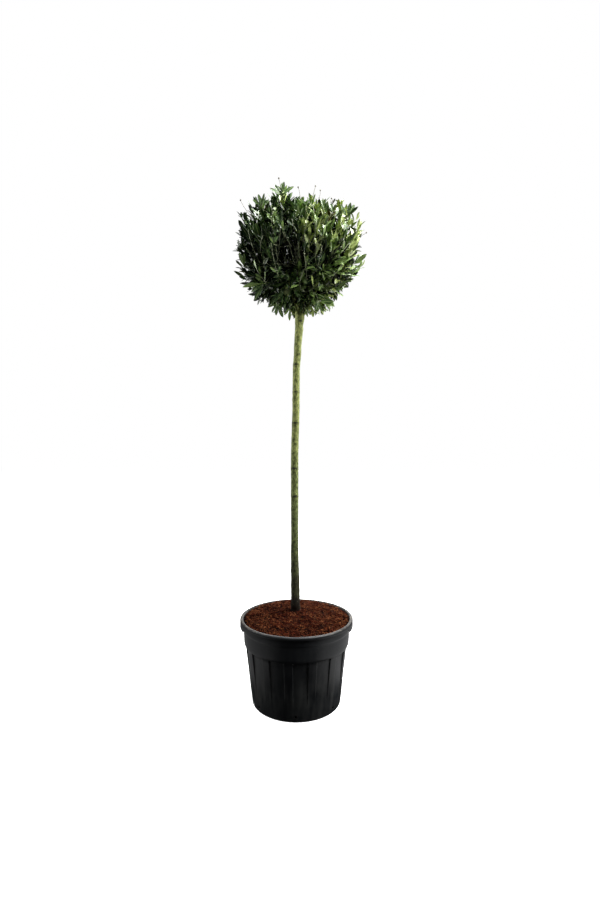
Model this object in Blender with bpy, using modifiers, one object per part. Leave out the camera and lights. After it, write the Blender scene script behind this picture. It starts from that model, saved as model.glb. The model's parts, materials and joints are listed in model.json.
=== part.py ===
"""Cherry laurel grown as a ball on a clear stem, in a round nursery pot with recessed panels.

Metres, +Z up. The origin is the middle of the pot's underside, and -Y is the front.
Run it with: blender --background --python part.py
"""

import math
import random

import bmesh
import bpy
from mathutils import Matrix, Vector
from mathutils.bvhtree import BVHTree

# GAP parts pieces that rest on each other. Points nearer than MERGE are one on a turned shape, and
# nearer than FINE_MERGE on a mass of leaves, which has to stay closed even if TOUCH were one
GAP = 0.0003
MERGE = 0.00001
FINE_MERGE = 0.000001
TOUCH = 0.000003

# The pot: a moulded shell with a turned-down rim, a collar and panels that fade out downwards. The rim
# is turned down further at the left and the right, where the pot is gripped
POT_STEPS = 42
POT_HEIGHT = 0.307
RIM_RADIUS = 0.210
RIM_DROP = 0.009
RIM_ROUND = 0.002
GRIP_DROP = 0.028
GRIP_HALF_WIDTH = math.radians(30.0)
GRIP_SLOPE = math.radians(8.0)
WALL = 0.0025
COLLAR_RADIUS = 0.1994
BAND_RADIUS = 0.1976
BAND_FOOT = 0.271
BAND_SLOPE = 0.001
COLLAR_FOOT = 0.220
STEP_FOOT = 0.207
BODY_FOOT_RADIUS = 0.1637
BODY_TAPER = 0.122
FOOT_ROUND = 0.003
PANELS = 14
PANEL_FOOT = 0.040
PANEL_DEPTH = 0.0045
PANEL_BEVEL = 0.003
# Turns the middle of one panel almost to the front
POT_TURN = math.radians(-87.0)
# A raised ring in the underside, from radius to radius, so that the pot stands on its middle and its edge
CHANNEL = (0.060, 0.130)
CHANNEL_HEIGHT = 0.006
CHANNEL_SLOPE = 0.004
HOLES = 7
HOLE_SIDES = 8
HOLE_RADIUS = 0.0055
HOLE_HEIGHT = 0.021
# Turns one drain hole to the front
HOLE_TURN = math.radians(-90.6)
SMOOTH_UNDER = math.radians(35.0)

# The growing medium: filled to just under the rim and heaped up round the stem
MEDIUM_CLEARANCE = 3 * GAP
MEDIUM_EDGE = 0.298
MEDIUM_EDGE_ROUND = 0.004
MOUND_STEPS = 3
STEM_FOOT = Vector((-0.004, 0.027, 0.316))
SEAT_RADIUS = 0.021

# The stem: height, sideways place and radius at each bend, from the root flare to its cut top
STEM_STATIONS = (
    (STEM_FOOT.z, -0.0040, 0.0185),
    (0.328, -0.0040, 0.0158),
    (0.360, -0.0042, 0.0147),
    (0.560, -0.0072, 0.0128),
    (0.890, -0.0072, 0.0129),
    (1.110, -0.0022, 0.0126),
    (1.230, -0.0010, 0.0124),
    (1.310, 0.0040, 0.0130),
    (1.400, 0.0095, 0.0145),
    (1.436, 0.0120, 0.0172),
    (1.476, 0.0130, 0.0150),
    (1.520, 0.0130, 0.0120),
    (1.536, 0.0128, 0.0088),
)
STEM_BOW = 0.004
STEM_RING = 0.055
STEM_LEAST_RING = 0.006
STEM_SIDES = 12
# Heights of the swellings where side shoots were cut off
KNOTS = (0.470, 0.705, 0.745, 0.852, 1.015, 1.252, 1.296, 1.385)
KNOT_SWELL = 0.0010
KNOT_REACH = 0.012

# The crown: an uneven ball about CENTRE, made up of masses that each keep to their own cell
CENTRE = Vector((0.0110, 0.026, 1.657))
HALF_WIDTH = 0.244
HALF_HEIGHT = 0.238
# Where the outline stands out or draws in: azimuth from the front, elevation, share, spread in radians
LOBES = (
    (-70.0, 42.0, 0.14, 0.34),
    (-38.0, 64.0, 0.20, 0.20),
    (72.0, 36.0, 0.17, 0.28),
    (41.0, 64.0, -0.13, 0.17),
    (105.0, -32.0, -0.15, 0.36),
    (-116.0, -46.0, -0.10, 0.34),
    (180.0, 38.0, 0.08, 0.30),
    (150.0, 5.0, -0.05, 0.30),
    (-140.0, 20.0, 0.06, 0.25),
)
# The dark window low at the front, through which the boughs show: azimuth, elevation, half angle
WINDOW = (-9.0, -24.0, 11.0)
# Rings of masses: elevation about CENTRE, number, first azimuth, the height at which their boughs
# leave the stem, and where the boughs bend outwards: how far out, and how far up from there
RINGS = (
    (88.0, 1, 0.0, 1.526, 0.002, 0.060),
    (44.0, 4, 30.0, 1.504, 0.040, 0.085),
    (3.0, 5, 12.0, 1.474, 0.052, 0.078),
    (-46.0, 5, 48.0, 1.434, 0.052, 0.030),
)
CELL_REACH = 0.62
CELL_MARGIN = 0.0008

# A bough is one tapering limb. The stem of its mass goes on GAP beyond its tip
BOUGH_BASE = 0.0048
BOUGH_TIP = 0.0032
BOUGH_RINGS = 5
BOUGH_SIDES = 6
BOUGH_SEARCH = 40
BOUGH_LEAST = 8
STEM_START = 0.010
STEM_END = 0.0020
MASS_STEM_SIDES = 5

# The dense inside of each mass, as a share of the crown's reach, lower down at the sides of the stem
CORE_SHARE = 0.70
CORE_LOWER = 0.12
CORE_DENT = 0.22
CORE_REACH = 0.110
CORE_MARGIN = 0.003
CORE_OFF_LIMBS = 0.004
CORE_AXIS = 0.030
CORE_LEAST = 0.012
CORE_STEP = 0.06
CORE_ROUNDS = 30
LIMB_STEP = 0.004

# Shoots stand out of the dense inside, and each carries a spiral of leaves that closes at its tip
SHOOTS = 84
SHOOT_BASE = 0.0018
SHOOT_END = 0.0010
SHOOT_SIDES = 3
SHOOT_DROP = 0.024
SHOOT_INSET = 0.030
STEM_WAY_IN = math.radians(170.0)
LEAVES_ON_SHOOT = 4
LEAF_TRIES = 6
LEAF_SHRINK = 0.07
LEAF_LENGTH = (0.070, 0.094)
LEAF_WIDTH = 0.32
LEAF_THICKNESS = 0.022
LEAF_BELLY = -0.12
LEAF_SINK = 0.004
# Share of the shoot where the lowest leaf stands, and where the one at the tip does
LEAF_SHARES = (0.45, 0.98)
LEAF_SPREAD = (math.radians(4.0), math.radians(56.0))
LEAF_WAVER = math.radians(6.0)
LEAF_TWIST = 0.9
LEAF_OUTWARD = 0.25
LEAF_SKYWARD = 0.35
OVERREACH = 1.06
LIMB_MARGIN = 0.0012
GOLDEN_ANGLE = math.pi * (3.0 - math.sqrt(5.0))
SEED = 11
DRAWS = 12

# Spent flower stalks that stand out past the leaves: azimuth, elevation and reach from CENTRE
STALKS = (
    (-36.0, 63.0, 0.278),
    (-68.0, 42.0, 0.302),
    (24.0, 66.0, 0.246),
    (52.0, 57.0, 0.252),
    (85.0, 14.0, 0.268),
    (172.0, 60.0, 0.272),
    (-150.0, 34.0, 0.276),
    (130.0, 28.0, 0.268),
)
STALK_RADIUS = 0.0010
STALK_TIP = 0.0007
BEAD_RADIUS = 0.0034
SIDEWAYS = Vector((0.3, 0.8, 0.5))

# Colour, roughness and metallic value of each finish
FINISHES = {
    "black_plastic": ((0.012, 0.012, 0.013), 0.42, 0.0),
    "bark_mulch": ((0.060, 0.018, 0.008), 0.95, 0.0),
    "green_bark": ((0.150, 0.165, 0.055), 0.75, 0.0),
    "laurel_leaf": ((0.022, 0.052, 0.012), 0.38, 0.0),
}


def clear_scene():
    """Removes whatever the file starts with."""
    for obj in list(bpy.data.objects):
        bpy.data.objects.remove(obj, do_unlink=True)


def new_collection(name, parent=None):
    """A collection linked to the scene or to another collection."""
    made = bpy.data.collections.new(name)
    (parent or bpy.context.scene.collection).children.link(made)
    return made


def finish(name):
    """The Principled material of that name, made once."""
    if name in bpy.data.materials:
        return bpy.data.materials[name]
    colour, roughness, metallic = FINISHES[name]
    made = bpy.data.materials.new(name)
    made.use_nodes = True
    shader = made.node_tree.nodes["Principled BSDF"]
    shader.inputs["Base Color"].default_value = (*colour, 1.0)
    shader.inputs["Roughness"].default_value = roughness
    shader.inputs["Metallic"].default_value = metallic
    made.diffuse_color = (*colour, 1.0)
    return made


def add_object(name, data, collection, material=None):
    """Links a mesh or curve to a collection as a named object."""
    obj = bpy.data.objects.new(name, data)
    collection.objects.link(obj)
    if material:
        obj.data.materials.clear()
        obj.data.materials.append(finish(material))
    return obj


def as_cutter(obj):
    """Marks an object as a helper that is not a piece."""
    obj.hide_render = True
    obj.display_type = "WIRE"
    return obj


def mesh_of(bm, name):
    """The bmesh as a named mesh, and the bmesh freed."""
    mesh = bpy.data.meshes.new(name)
    bm.to_mesh(mesh)
    bm.free()
    return mesh


def realised(obj, weld=MERGE):
    """The object's evaluated mesh, welded, after which the object itself is removed."""
    bpy.context.view_layer.update()
    graph = bpy.context.evaluated_depsgraph_get()
    mesh = bpy.data.meshes.new_from_object(obj.evaluated_get(graph))
    mesh.transform(obj.matrix_world)
    bpy.data.objects.remove(obj, do_unlink=True)
    bm = bmesh.new()
    bm.from_mesh(mesh)
    bmesh.ops.remove_doubles(bm, verts=bm.verts, dist=weld)
    bm.to_mesh(mesh)
    bm.free()
    return mesh


def turned(name, profile, collection):
    """The mesh of a profile, given as (radius, height) points, turned once about Z by a Screw."""
    bm = bmesh.new()
    points = [bm.verts.new((radius, 0.0, height)) for radius, height in profile]
    for first, second in zip(points, points[1:]):
        bm.edges.new((first, second))
    obj = add_object(name, mesh_of(bm, name), collection)
    screw = obj.modifiers.new("turn", "SCREW")
    screw.angle = math.tau
    screw.steps = screw.render_steps = POT_STEPS
    screw.use_merge_vertices = True
    screw.merge_threshold = MERGE
    return realised(obj)


def tapered_tube(name, line, collection, sides):
    """A curve object along (place, radius) pairs, with flat filled ends."""
    curve = bpy.data.curves.new(name, "CURVE")
    curve.dimensions = "3D"
    curve.bevel_depth = 1.0
    curve.bevel_resolution = (sides - 4) // 2
    curve.use_fill_caps = True
    spline = curve.splines.new("POLY")
    spline.points.add(len(line) - 1)
    for point, (place, radius) in zip(spline.points, line):
        point.co = (*place, 1.0)
        point.radius = radius
    return add_object(name, curve, collection)


def prism(start, end, base, tip, sides):
    """The mesh of a closed tapered prism between two points."""
    run = end - start
    turn = run.to_track_quat("Z", "Y").to_matrix().to_4x4()
    middle = Matrix.Translation((start + end) / 2)
    bm = bmesh.new()
    bmesh.ops.create_cone(
        bm,
        cap_ends=True,
        segments=sides,
        radius1=base,
        radius2=tip,
        depth=run.length,
        matrix=middle @ turn,
    )
    return mesh_of(bm, "prism")


def heading(azimuth, elevation):
    """The unit vector at an azimuth measured from the front towards +X, and an elevation, in degrees."""
    turn, rise = math.radians(azimuth), math.radians(elevation)
    flat = math.cos(rise)
    return Vector((math.sin(turn) * flat, -math.cos(turn) * flat, math.sin(rise)))


def bezier(start, bend, end, share):
    """A point on the quadratic curve through start and end."""
    return start.lerp(bend, share).lerp(bend.lerp(end, share), share)


def body_radius(height):
    """The outer radius of the pot's tapered body."""
    return BODY_FOOT_RADIUS + BODY_TAPER * height


def panel_depth(height):
    """How deep a panel is cut in: full under the collar, nothing at its foot."""
    share = (height - PANEL_FOOT) / (STEP_FOOT - PANEL_FOOT)
    return PANEL_DEPTH * min(1.0, max(0.0, share))


def pot_inner_profile():
    """The pot's inner and upper surface, from the floor's middle out and up to the rim's lower edge."""
    low, high = WALL, WALL + CHANNEL_HEIGHT
    inner, outer = CHANNEL
    foot = BODY_FOOT_RADIUS - WALL
    return (
        (0.0, low),
        (inner, low),
        (inner + CHANNEL_SLOPE, high),
        (outer - CHANNEL_SLOPE, high),
        (outer, low),
        (foot - FOOT_ROUND, low),
        (foot, low + FOOT_ROUND),
        (body_radius(PANEL_FOOT) - WALL, PANEL_FOOT),
        (body_radius(STEP_FOOT) - WALL, STEP_FOOT),
        (BAND_RADIUS - WALL - BAND_SLOPE, COLLAR_FOOT),
        (BAND_RADIUS - WALL, BAND_FOOT - BAND_SLOPE),
        (COLLAR_RADIUS - WALL, BAND_FOOT),
        (COLLAR_RADIUS - WALL, POT_HEIGHT - RIM_ROUND),
        (COLLAR_RADIUS, POT_HEIGHT),
        (RIM_RADIUS - RIM_ROUND, POT_HEIGHT),
        (RIM_RADIUS, POT_HEIGHT - RIM_ROUND),
        (RIM_RADIUS, POT_HEIGHT - RIM_DROP),
    )


def sink_panels(mesh):
    """Draws the wall's panels towards the axis: each two steps wide, with a rib of one step between."""
    bm = bmesh.new()
    bm.from_mesh(mesh)
    bm.normal_update()
    for panel in range(PANELS):
        middle = panel * math.tau / PANELS
        faces = []
        for face in bm.faces:
            place = face.calc_center_median()
            turn = math.remainder(math.atan2(place.y, place.x) - middle, math.tau)
            if abs(turn) < math.tau / POT_STEPS and PANEL_FOOT < place.z < STEP_FOOT:
                faces.append(face)
        bmesh.ops.inset_region(bm, faces=faces, thickness=PANEL_BEVEL, use_even_offset=True)
        for vert in {v for face in faces for v in face.verts}:
            outward = Vector((vert.co.x, vert.co.y, 0.0)).normalized()
            vert.co -= outward * panel_depth(vert.co.z + PANEL_BEVEL)
    bm.to_mesh(mesh)
    bm.free()


def lower_grips(mesh):
    """Draws the rim's lower edge down at both sides of the pot."""
    low = POT_HEIGHT - RIM_DROP
    for vert in mesh.vertices:
        if vert.co.xy.length > RIM_RADIUS - RIM_ROUND and vert.co.z < low + MERGE:
            turn = math.atan2(vert.co.y, vert.co.x) + POT_TURN
            off_side = math.asin(min(1.0, abs(math.sin(turn))))
            share = min(1.0, max(0.0, (GRIP_HALF_WIDTH - off_side) / GRIP_SLOPE))
            vert.co.z = low - (GRIP_DROP - RIM_DROP) * share


def make_pot(parts, cutters):
    """The pot: a turned sheet with its panels sunk, given its wall, with drain holes round the foot."""
    mesh = turned("pot", pot_inner_profile(), parts)
    sink_panels(mesh)
    lower_grips(mesh)
    pot = add_object("pot", mesh, parts, "black_plastic")
    pot.rotation_euler.z = POT_TURN
    wall = pot.modifiers.new("wall", "SOLIDIFY")
    wall.thickness = WALL
    wall.offset = -1.0
    wall.use_even_offset = True
    drills = new_collection("drain_drills", cutters)
    for hole in range(HOLES):
        turn = HOLE_TURN + hole * math.tau / HOLES
        outward = Vector((math.cos(turn), math.sin(turn), 0.0))
        place = outward * BODY_FOOT_RADIUS + Vector((0.0, 0.0, HOLE_HEIGHT))
        reach = outward * 5 * WALL
        drill = prism(place - reach, place + reach, HOLE_RADIUS, HOLE_RADIUS, HOLE_SIDES)
        as_cutter(add_object(f"drill_{hole}", drill, drills))
    holes = pot.modifiers.new("drain holes", "BOOLEAN")
    holes.operation = "DIFFERENCE"
    holes.operand_type = "COLLECTION"
    holes.collection = drills
    holes.solver = "EXACT"
    pot.data.shade_smooth()
    pot.data.set_sharp_from_angle(angle=SMOOTH_UNDER)


def medium_rings():
    """Radius, height and middle of each ring of the medium, from its underside to the stem's seat."""
    wall = WALL + MEDIUM_CLEARANCE
    foot = BODY_FOOT_RADIUS - wall - FOOT_ROUND
    edge = BAND_RADIUS - wall - MEDIUM_CLEARANCE
    axis = Vector((0.0, 0.0))
    yield foot, WALL + GAP + CHANNEL_HEIGHT, axis
    yield body_radius(PANEL_FOOT) - wall - MEDIUM_CLEARANCE, PANEL_FOOT, axis
    yield body_radius(STEP_FOOT) - wall - MEDIUM_CLEARANCE - PANEL_DEPTH, STEP_FOOT, axis
    yield BAND_RADIUS - wall - BAND_SLOPE, COLLAR_FOOT + 2 * BAND_SLOPE, axis
    yield BAND_RADIUS - wall, MEDIUM_EDGE - MEDIUM_EDGE_ROUND, axis
    yield edge, MEDIUM_EDGE, axis
    rise = STEM_FOOT.z - GAP - MEDIUM_EDGE
    for step in range(1, MOUND_STEPS + 1):
        share = step / MOUND_STEPS
        radius = edge + (SEAT_RADIUS - edge) * share
        yield radius, MEDIUM_EDGE + rise * math.sin(share * math.pi / 2), STEM_FOOT.xy * share


def make_medium(parts):
    """The growing medium: it fills the pot clear of the panels and rises to a flat seat for the stem."""
    rings = list(medium_rings())
    last_radius, height, last_middle = rings[0]
    bm = bmesh.new()
    bmesh.ops.create_circle(bm, cap_ends=True, segments=POT_STEPS, radius=last_radius)
    bmesh.ops.translate(bm, verts=bm.verts, vec=(0.0, 0.0, height))
    loop = list(bm.edges)
    for radius, height, middle in rings[1:]:
        made = bmesh.ops.extrude_edge_only(bm, edges=loop)["geom"]
        verts = {item for item in made if isinstance(item, bmesh.types.BMVert)}
        edges = [item for item in made if isinstance(item, bmesh.types.BMEdge)]
        loop = [edge for edge in edges if verts.issuperset(edge.verts)]
        for vert in verts:
            arm = (vert.co.xy - last_middle) * (radius / last_radius)
            vert.co = (*(middle + arm), height)
        last_radius, last_middle = radius, middle
    bmesh.ops.contextual_create(bm, geom=loop)
    bmesh.ops.recalc_face_normals(bm, faces=bm.faces)
    add_object("growing_medium", mesh_of(bm, "growing_medium"), parts, "bark_mulch")


def stem_at(height):
    """The stem's middle and radius at a height: smooth between the stations, swollen at the knots."""
    pairs = list(zip(STEM_STATIONS, STEM_STATIONS[1:]))
    (low, x_low, r_low), (high, x_high, r_high) = next(
        (pair for pair in pairs if height <= pair[1][0]), pairs[-1]
    )
    share = (height - low) / (high - low)
    eased = share * share * (3.0 - 2.0 * share)
    bottom, top = STEM_STATIONS[0][0], STEM_STATIONS[-1][0]
    bow = STEM_BOW * math.sin((height - bottom) / (top - bottom) * math.pi)
    place = Vector((x_low + (x_high - x_low) * eased, STEM_FOOT.y - bow, height))
    radius = r_low + (r_high - r_low) * eased
    for knot in KNOTS:
        radius += KNOT_SWELL * math.exp(-(((height - knot) / KNOT_REACH) ** 2))
    return place, radius


def trunk_line(spare):
    """Places and radii up the stem, made thicker all round by spare."""
    bottom, top = STEM_STATIONS[0][0], STEM_STATIONS[-1][0]
    heights = {top, *KNOTS, *(station[0] for station in STEM_STATIONS)}
    heights |= {bottom + STEM_RING * step for step in range(int((top - bottom) / STEM_RING))}
    kept = [bottom]
    for height in sorted(heights):
        if height - kept[-1] > STEM_LEAST_RING:
            kept.append(height)
    line = []
    for height in kept:
        place, radius = stem_at(height)
        line.append((place, radius + spare))
    place, radius = line[-1]
    line[-1] = (place + Vector((0.0, 0.0, spare)), radius)
    return line


def outline_radius(way):
    """How far the crown reaches from CENTRE in a direction."""
    flat = math.hypot(way.x, way.y)
    reach = 1.0 / math.hypot(flat / HALF_WIDTH, way.z / HALF_HEIGHT)
    share = 1.0
    for azimuth, elevation, height, spread in LOBES:
        off = way.angle(heading(azimuth, elevation))
        share += height * math.exp(-((off / spread) ** 2))
    return reach * share


def core_radius(way):
    """How far the dense insides of the masses reach from CENTRE: drawn in at the window."""
    off = way.angle(heading(*WINDOW[:2])) / math.radians(WINDOW[2])
    share = CORE_SHARE + CORE_LOWER * max(0.0, -way.z) - CORE_DENT * math.exp(-(off**2))
    return outline_radius(way) * share


class Mass:
    """One mass of foliage: its cell's seed, the bough that carries it, and what grows in it."""

    def __init__(self, name, azimuth, elevation, leaves_stem, out, up):
        way = heading(azimuth, elevation)
        self.name = name
        self.seed = CENTRE + way * outline_radius(way) * CELL_REACH
        self.root = stem_at(leaves_stem)[0]
        self.bend = self.root + heading(azimuth, 0.0) * out + Vector((0.0, 0.0, up))
        self.axis_gap = min(CORE_AXIS, (self.seed - CENTRE).xy.length * CORE_AXIS / 0.1)
        self.walls = []
        self.shoots = []
        self.stalks = []

    def holds(self, points):
        """Whether all the points lie on this mass's side of its cell's walls."""
        return all((p - middle).dot(way) < -CELL_MARGIN for p in points for middle, way in self.walls)

    def in_core(self, point):
        """Whether a point lies where this mass's dense inside may be."""
        arm = point - CENTRE
        if arm.xy.length < self.axis_gap or arm.length > core_radius(arm.normalized()):
            return False
        return all((point - middle).dot(way) < -CORE_MARGIN for middle, way in self.walls)

    def grow_bough(self):
        """Places and radii along the bough, from inside the stem to where it enters the mass."""
        curve = [
            bezier(self.root, self.bend, self.seed, step / BOUGH_SEARCH) for step in range(BOUGH_SEARCH + 1)
        ]
        entry = BOUGH_LEAST
        while not (self.holds(curve[entry:]) and self.in_core(curve[entry])):
            entry += 1
        self.bough = []
        for step in range(BOUGH_RINGS + 1):
            share = step / BOUGH_RINGS
            place = bezier(self.root, self.bend, self.seed, share * entry / BOUGH_SEARCH)
            self.bough.append((place, BOUGH_BASE + (BOUGH_TIP - BOUGH_BASE) * share))

    def stem_meshes(self):
        """The mass's own stem: it starts GAP beyond the bough's tip, square to it, and ends at the seed."""
        before, tip = self.bough[-2][0], self.bough[-1][0]
        way = (tip - before).normalized()
        start, turn = tip + way * GAP, tip + way * STEM_START
        inside = start.lerp(turn, 0.8)
        yield prism(start, turn, BOUGH_TIP, BOUGH_TIP, MASS_STEM_SIDES)
        yield prism(inside, self.seed, BOUGH_TIP, STEM_END, MASS_STEM_SIDES)


def make_masses():
    """The masses, ring by ring, each with its bough and the walls that part it from its neighbours."""
    masses = []
    for elevation, count, first, *bough in RINGS:
        for index in range(count):
            azimuth = first + index * 360.0 / count
            masses.append(Mass(f"{len(masses) + 1:02d}", azimuth, elevation, *bough))
    for mass in masses:
        for other in masses:
            if other is not mass:
                way = (other.seed - mass.seed).normalized()
                mass.walls.append(((mass.seed + other.seed) / 2, way))
        mass.grow_bough()
    for way in shoot_ways():
        reach = outline_radius(way) - SHOOT_INSET
        nearest_mass(masses, way, reach).shoots.append((way, reach))
    for azimuth, elevation, reach in STALKS:
        way = heading(azimuth, elevation)
        nearest_mass(masses, way, reach).stalks.append((way, reach))
    return masses


def nearest_mass(masses, way, reach):
    """The mass whose cell holds the point at that reach from CENTRE."""
    return min(masses, key=lambda mass: (mass.seed - CENTRE - way * reach).length)


def shoot_ways():
    """Directions of the shoots' tips, even on all sides but for the window and the stem's way in."""
    window = heading(*WINDOW[:2])
    for index in range(SHOOTS):
        height = 1.0 - 2.0 * (index + 0.5) / SHOOTS
        flat = math.sqrt(1.0 - height * height)
        turn = index * GOLDEN_ANGLE
        way = Vector((flat * math.cos(turn), flat * math.sin(turn), height))
        if way.angle(window) > math.radians(WINDOW[2]) and way.angle(Vector((0.0, 0.0, 1.0))) < STEM_WAY_IN:
            yield way


def spots_along(line):
    """Places and radii close together along one limb."""
    for (low, r_low), (high, r_high) in zip(line, line[1:]):
        steps = max(1, round((high - low).length / LIMB_STEP))
        for step in range(steps + 1):
            share = step / steps
            yield low.lerp(high, share), r_low + (r_high - r_low) * share


def off_limbs(point, limbs):
    """The clearance from a point to the nearest limb's surface."""
    nearest = math.inf
    for line in limbs:
        for (low, r_low), (high, r_high) in zip(line, line[1:]):
            run = high - low
            share = min(1.0, max(0.0, (point - low).dot(run) / run.length_squared))
            away = (point - low - run * share).length - r_low - (r_high - r_low) * share
            nearest = min(nearest, away)
    return nearest


def clear_of_limbs(start, end, width, limbs):
    """Whether a strip between two points keeps LIMB_MARGIN off every limb."""
    steps = max(2, int((end - start).length / (2 * LIMB_STEP)))
    return all(
        off_limbs(start.lerp(end, step / steps), limbs) > LIMB_MARGIN + width for step in range(steps + 1)
    )


def leaf_frame(root, along, face, length, width, thickness):
    """The matrix that takes a unit octahedron to a leaf that lies along a unit vector from its root."""
    side = along.cross(face).normalized()
    scale = Matrix.Diagonal((width / 2, thickness / 2, length / 2, 1.0))
    turn = Matrix((side, side.cross(along), along)).transposed().to_4x4()
    return Matrix.Translation(root + along * length / 2) @ turn @ scale


def leaf_mesh(frame):
    """A leaf of eight faces, widest a little below its middle."""
    bm = bmesh.new()
    bmesh.ops.create_uvsphere(bm, u_segments=4, v_segments=2, radius=1.0)
    for vert in bm.verts:
        if abs(vert.co.z) < 0.5:
            vert.co.z = LEAF_BELLY
    bmesh.ops.transform(bm, matrix=frame, verts=bm.verts)
    bmesh.ops.recalc_face_normals(bm, faces=bm.faces)
    return mesh_of(bm, "leaf")


def leaf_corners(frame):
    """A leaf's two ends and its two sides."""
    corners = ((0, 0, -1), (0, 0, 1), (-1, 0, LEAF_BELLY), (1, 0, LEAF_BELLY))
    return [frame @ Vector(corner) for corner in corners]


def leaf_fits(frame, mass, limbs):
    """Whether a leaf stays in its mass's cell and in the crown's outline, and off the limbs."""
    root, end, left, right = leaf_corners(frame)
    arm = end - CENTRE
    if arm.length > outline_radius(arm.normalized()) * OVERREACH:
        return False
    if not mass.holds((root, end, left, right)):
        return False
    return clear_of_limbs(root, end, (right - left).length / 2, limbs)


def shoot_leaves(chance, start, tip, outer):
    """For each leaf of a shoot, a function that draws a frame for it at a share of its full size."""
    ahead = (tip - start).normalized()
    low, high = LEAF_SHARES
    least, most = LEAF_SPREAD
    turn = chance.uniform(0.0, math.tau)
    for index in range(LEAVES_ON_SHOOT):
        down = index / (LEAVES_ON_SHOOT - 1)
        root = start.lerp(tip, high + (low - high) * down)
        opened = least + (most - least) * math.sqrt(down)
        turn += GOLDEN_ANGLE

        def frame(share, root=root, opened=opened, turn=turn):
            across = ahead.orthogonal().normalized()
            across.rotate(Matrix.Rotation(turn + chance.uniform(-LEAF_TWIST, LEAF_TWIST), 3, ahead))
            spread = opened + chance.uniform(-LEAF_WAVER, LEAF_WAVER)
            along = ahead * math.cos(spread) + across * math.sin(spread) + outer * LEAF_OUTWARD
            along.normalize()
            face = ahead * math.sin(spread) - across * math.cos(spread)
            face.z += LEAF_SKYWARD
            length = chance.uniform(*LEAF_LENGTH) * share
            sizes = length, length * LEAF_WIDTH, length * LEAF_THICKNESS
            return leaf_frame(root - along * LEAF_SINK, along, face, *sizes)

        yield frame


def core_mesh(mass, limbs):
    """The dense inside of a mass: a coarse ball about the seed, drawn in until it is clear on all sides."""
    bm = bmesh.new()
    bmesh.ops.create_icosphere(bm, subdivisions=2, radius=CORE_REACH)
    for vert in bm.verts:
        vert.co += mass.seed
        while not mass.in_core(vert.co) and (vert.co - mass.seed).length > CORE_LEAST:
            vert.co = vert.co.lerp(mass.seed, CORE_STEP)
    for _ in range(CORE_ROUNDS):
        tree = BVHTree.FromBMesh(bm)
        bm.faces.ensure_lookup_table()
        near = set()
        for line in limbs:
            for place, radius in spots_along(line):
                spot, normal, index, away = tree.find_nearest(place)
                if (place - spot).dot(normal) < 0.0 or away < radius + CORE_OFF_LIMBS:
                    near |= set(bm.faces[index].verts)
        for vert in near:
            vert.co = vert.co.lerp(mass.seed, CORE_STEP)
    return mesh_of(bm, "core")


def grow_mass(mass, limbs, chance):
    """The meshes of one mass: its core, its stem, its leafy shoots and its flower stalks."""
    meshes = [core_mesh(mass, limbs), *mass.stem_meshes()]
    for way, reach in mass.shoots:
        tip = CENTRE + way * reach
        start = mass.seed - Vector((0.0, 0.0, SHOOT_DROP))
        if not mass.in_core(start):
            start = mass.seed
        if not mass.holds((tip, start)) or not clear_of_limbs(start, tip, SHOOT_BASE, limbs):
            continue
        meshes.append(prism(start, tip, SHOOT_BASE, SHOOT_END, SHOOT_SIDES))
        for draw in shoot_leaves(chance, start, tip, way):
            frames = (draw(1.0 - LEAF_SHRINK * attempt) for attempt in range(LEAF_TRIES))
            frame = next((frame for frame in frames if leaf_fits(frame, mass, limbs)), None)
            if frame:
                meshes.append(leaf_mesh(frame))
    for way, reach in mass.stalks:
        tip = CENTRE + way * reach
        if mass.holds((tip,)) and clear_of_limbs(mass.seed, tip, BEAD_RADIUS, limbs):
            meshes.append(prism(mass.seed, tip, STALK_RADIUS, STALK_TIP, SHOOT_SIDES))
            size = 2 * BEAD_RADIUS
            meshes.append(leaf_mesh(leaf_frame(tip - way * BEAD_RADIUS, way, SIDEWAYS, size, size, size)))
    return meshes


def bodies(bm):
    """The bodies of a bmesh, as sets of faces that are joined edge to edge, the largest last."""
    left = set(bm.faces)
    found = []
    while left:
        body, rim = set(), [left.pop()]
        while rim:
            face = rim.pop()
            body.add(face)
            near = {other for edge in face.edges for other in edge.link_faces} & left
            left -= near
            rim.extend(near)
        found.append(body)
    return sorted(found, key=len)


def main_body(mesh):
    """Keeps the mesh's largest body, as triangles: a loose scrap goes, and a sealed hollow is filled."""
    bm = bmesh.new()
    bm.from_mesh(mesh)
    bmesh.ops.triangulate(bm, faces=bm.faces)
    loose = [face for body in bodies(bm)[:-1] for face in body]
    bmesh.ops.delete(bm, geom=loose, context="FACES")
    bm.to_mesh(mesh)
    bm.free()


def is_sound(mesh):
    """Whether a mesh is still one closed body once points that nearly touch are made one."""
    bm = bmesh.new()
    bm.from_mesh(mesh)
    bmesh.ops.remove_doubles(bm, verts=bm.verts, dist=TOUCH)
    bmesh.ops.dissolve_degenerate(bm, dist=TOUCH, edges=bm.edges)
    sound = all(edge.is_manifold for edge in bm.edges) and len(bodies(bm)) == 1
    bm.free()
    return sound


def joined(name, meshes, parts):
    """One mesh from overlapping closed ones, by a Boolean union on a collection that is then removed."""
    pieces = new_collection(f"{name}_pieces")
    for mesh in meshes[1:]:
        add_object("piece", mesh, pieces)
    whole = add_object(name, meshes[0], parts)
    union = whole.modifiers.new("union", "BOOLEAN")
    union.operation = "UNION"
    union.operand_type = "COLLECTION"
    union.collection = pieces
    union.solver = "EXACT"
    mesh = realised(whole, FINE_MERGE)
    main_body(mesh)
    for obj in list(pieces.objects):
        bpy.data.objects.remove(obj, do_unlink=True)
    bpy.data.collections.remove(pieces)
    return mesh


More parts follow.
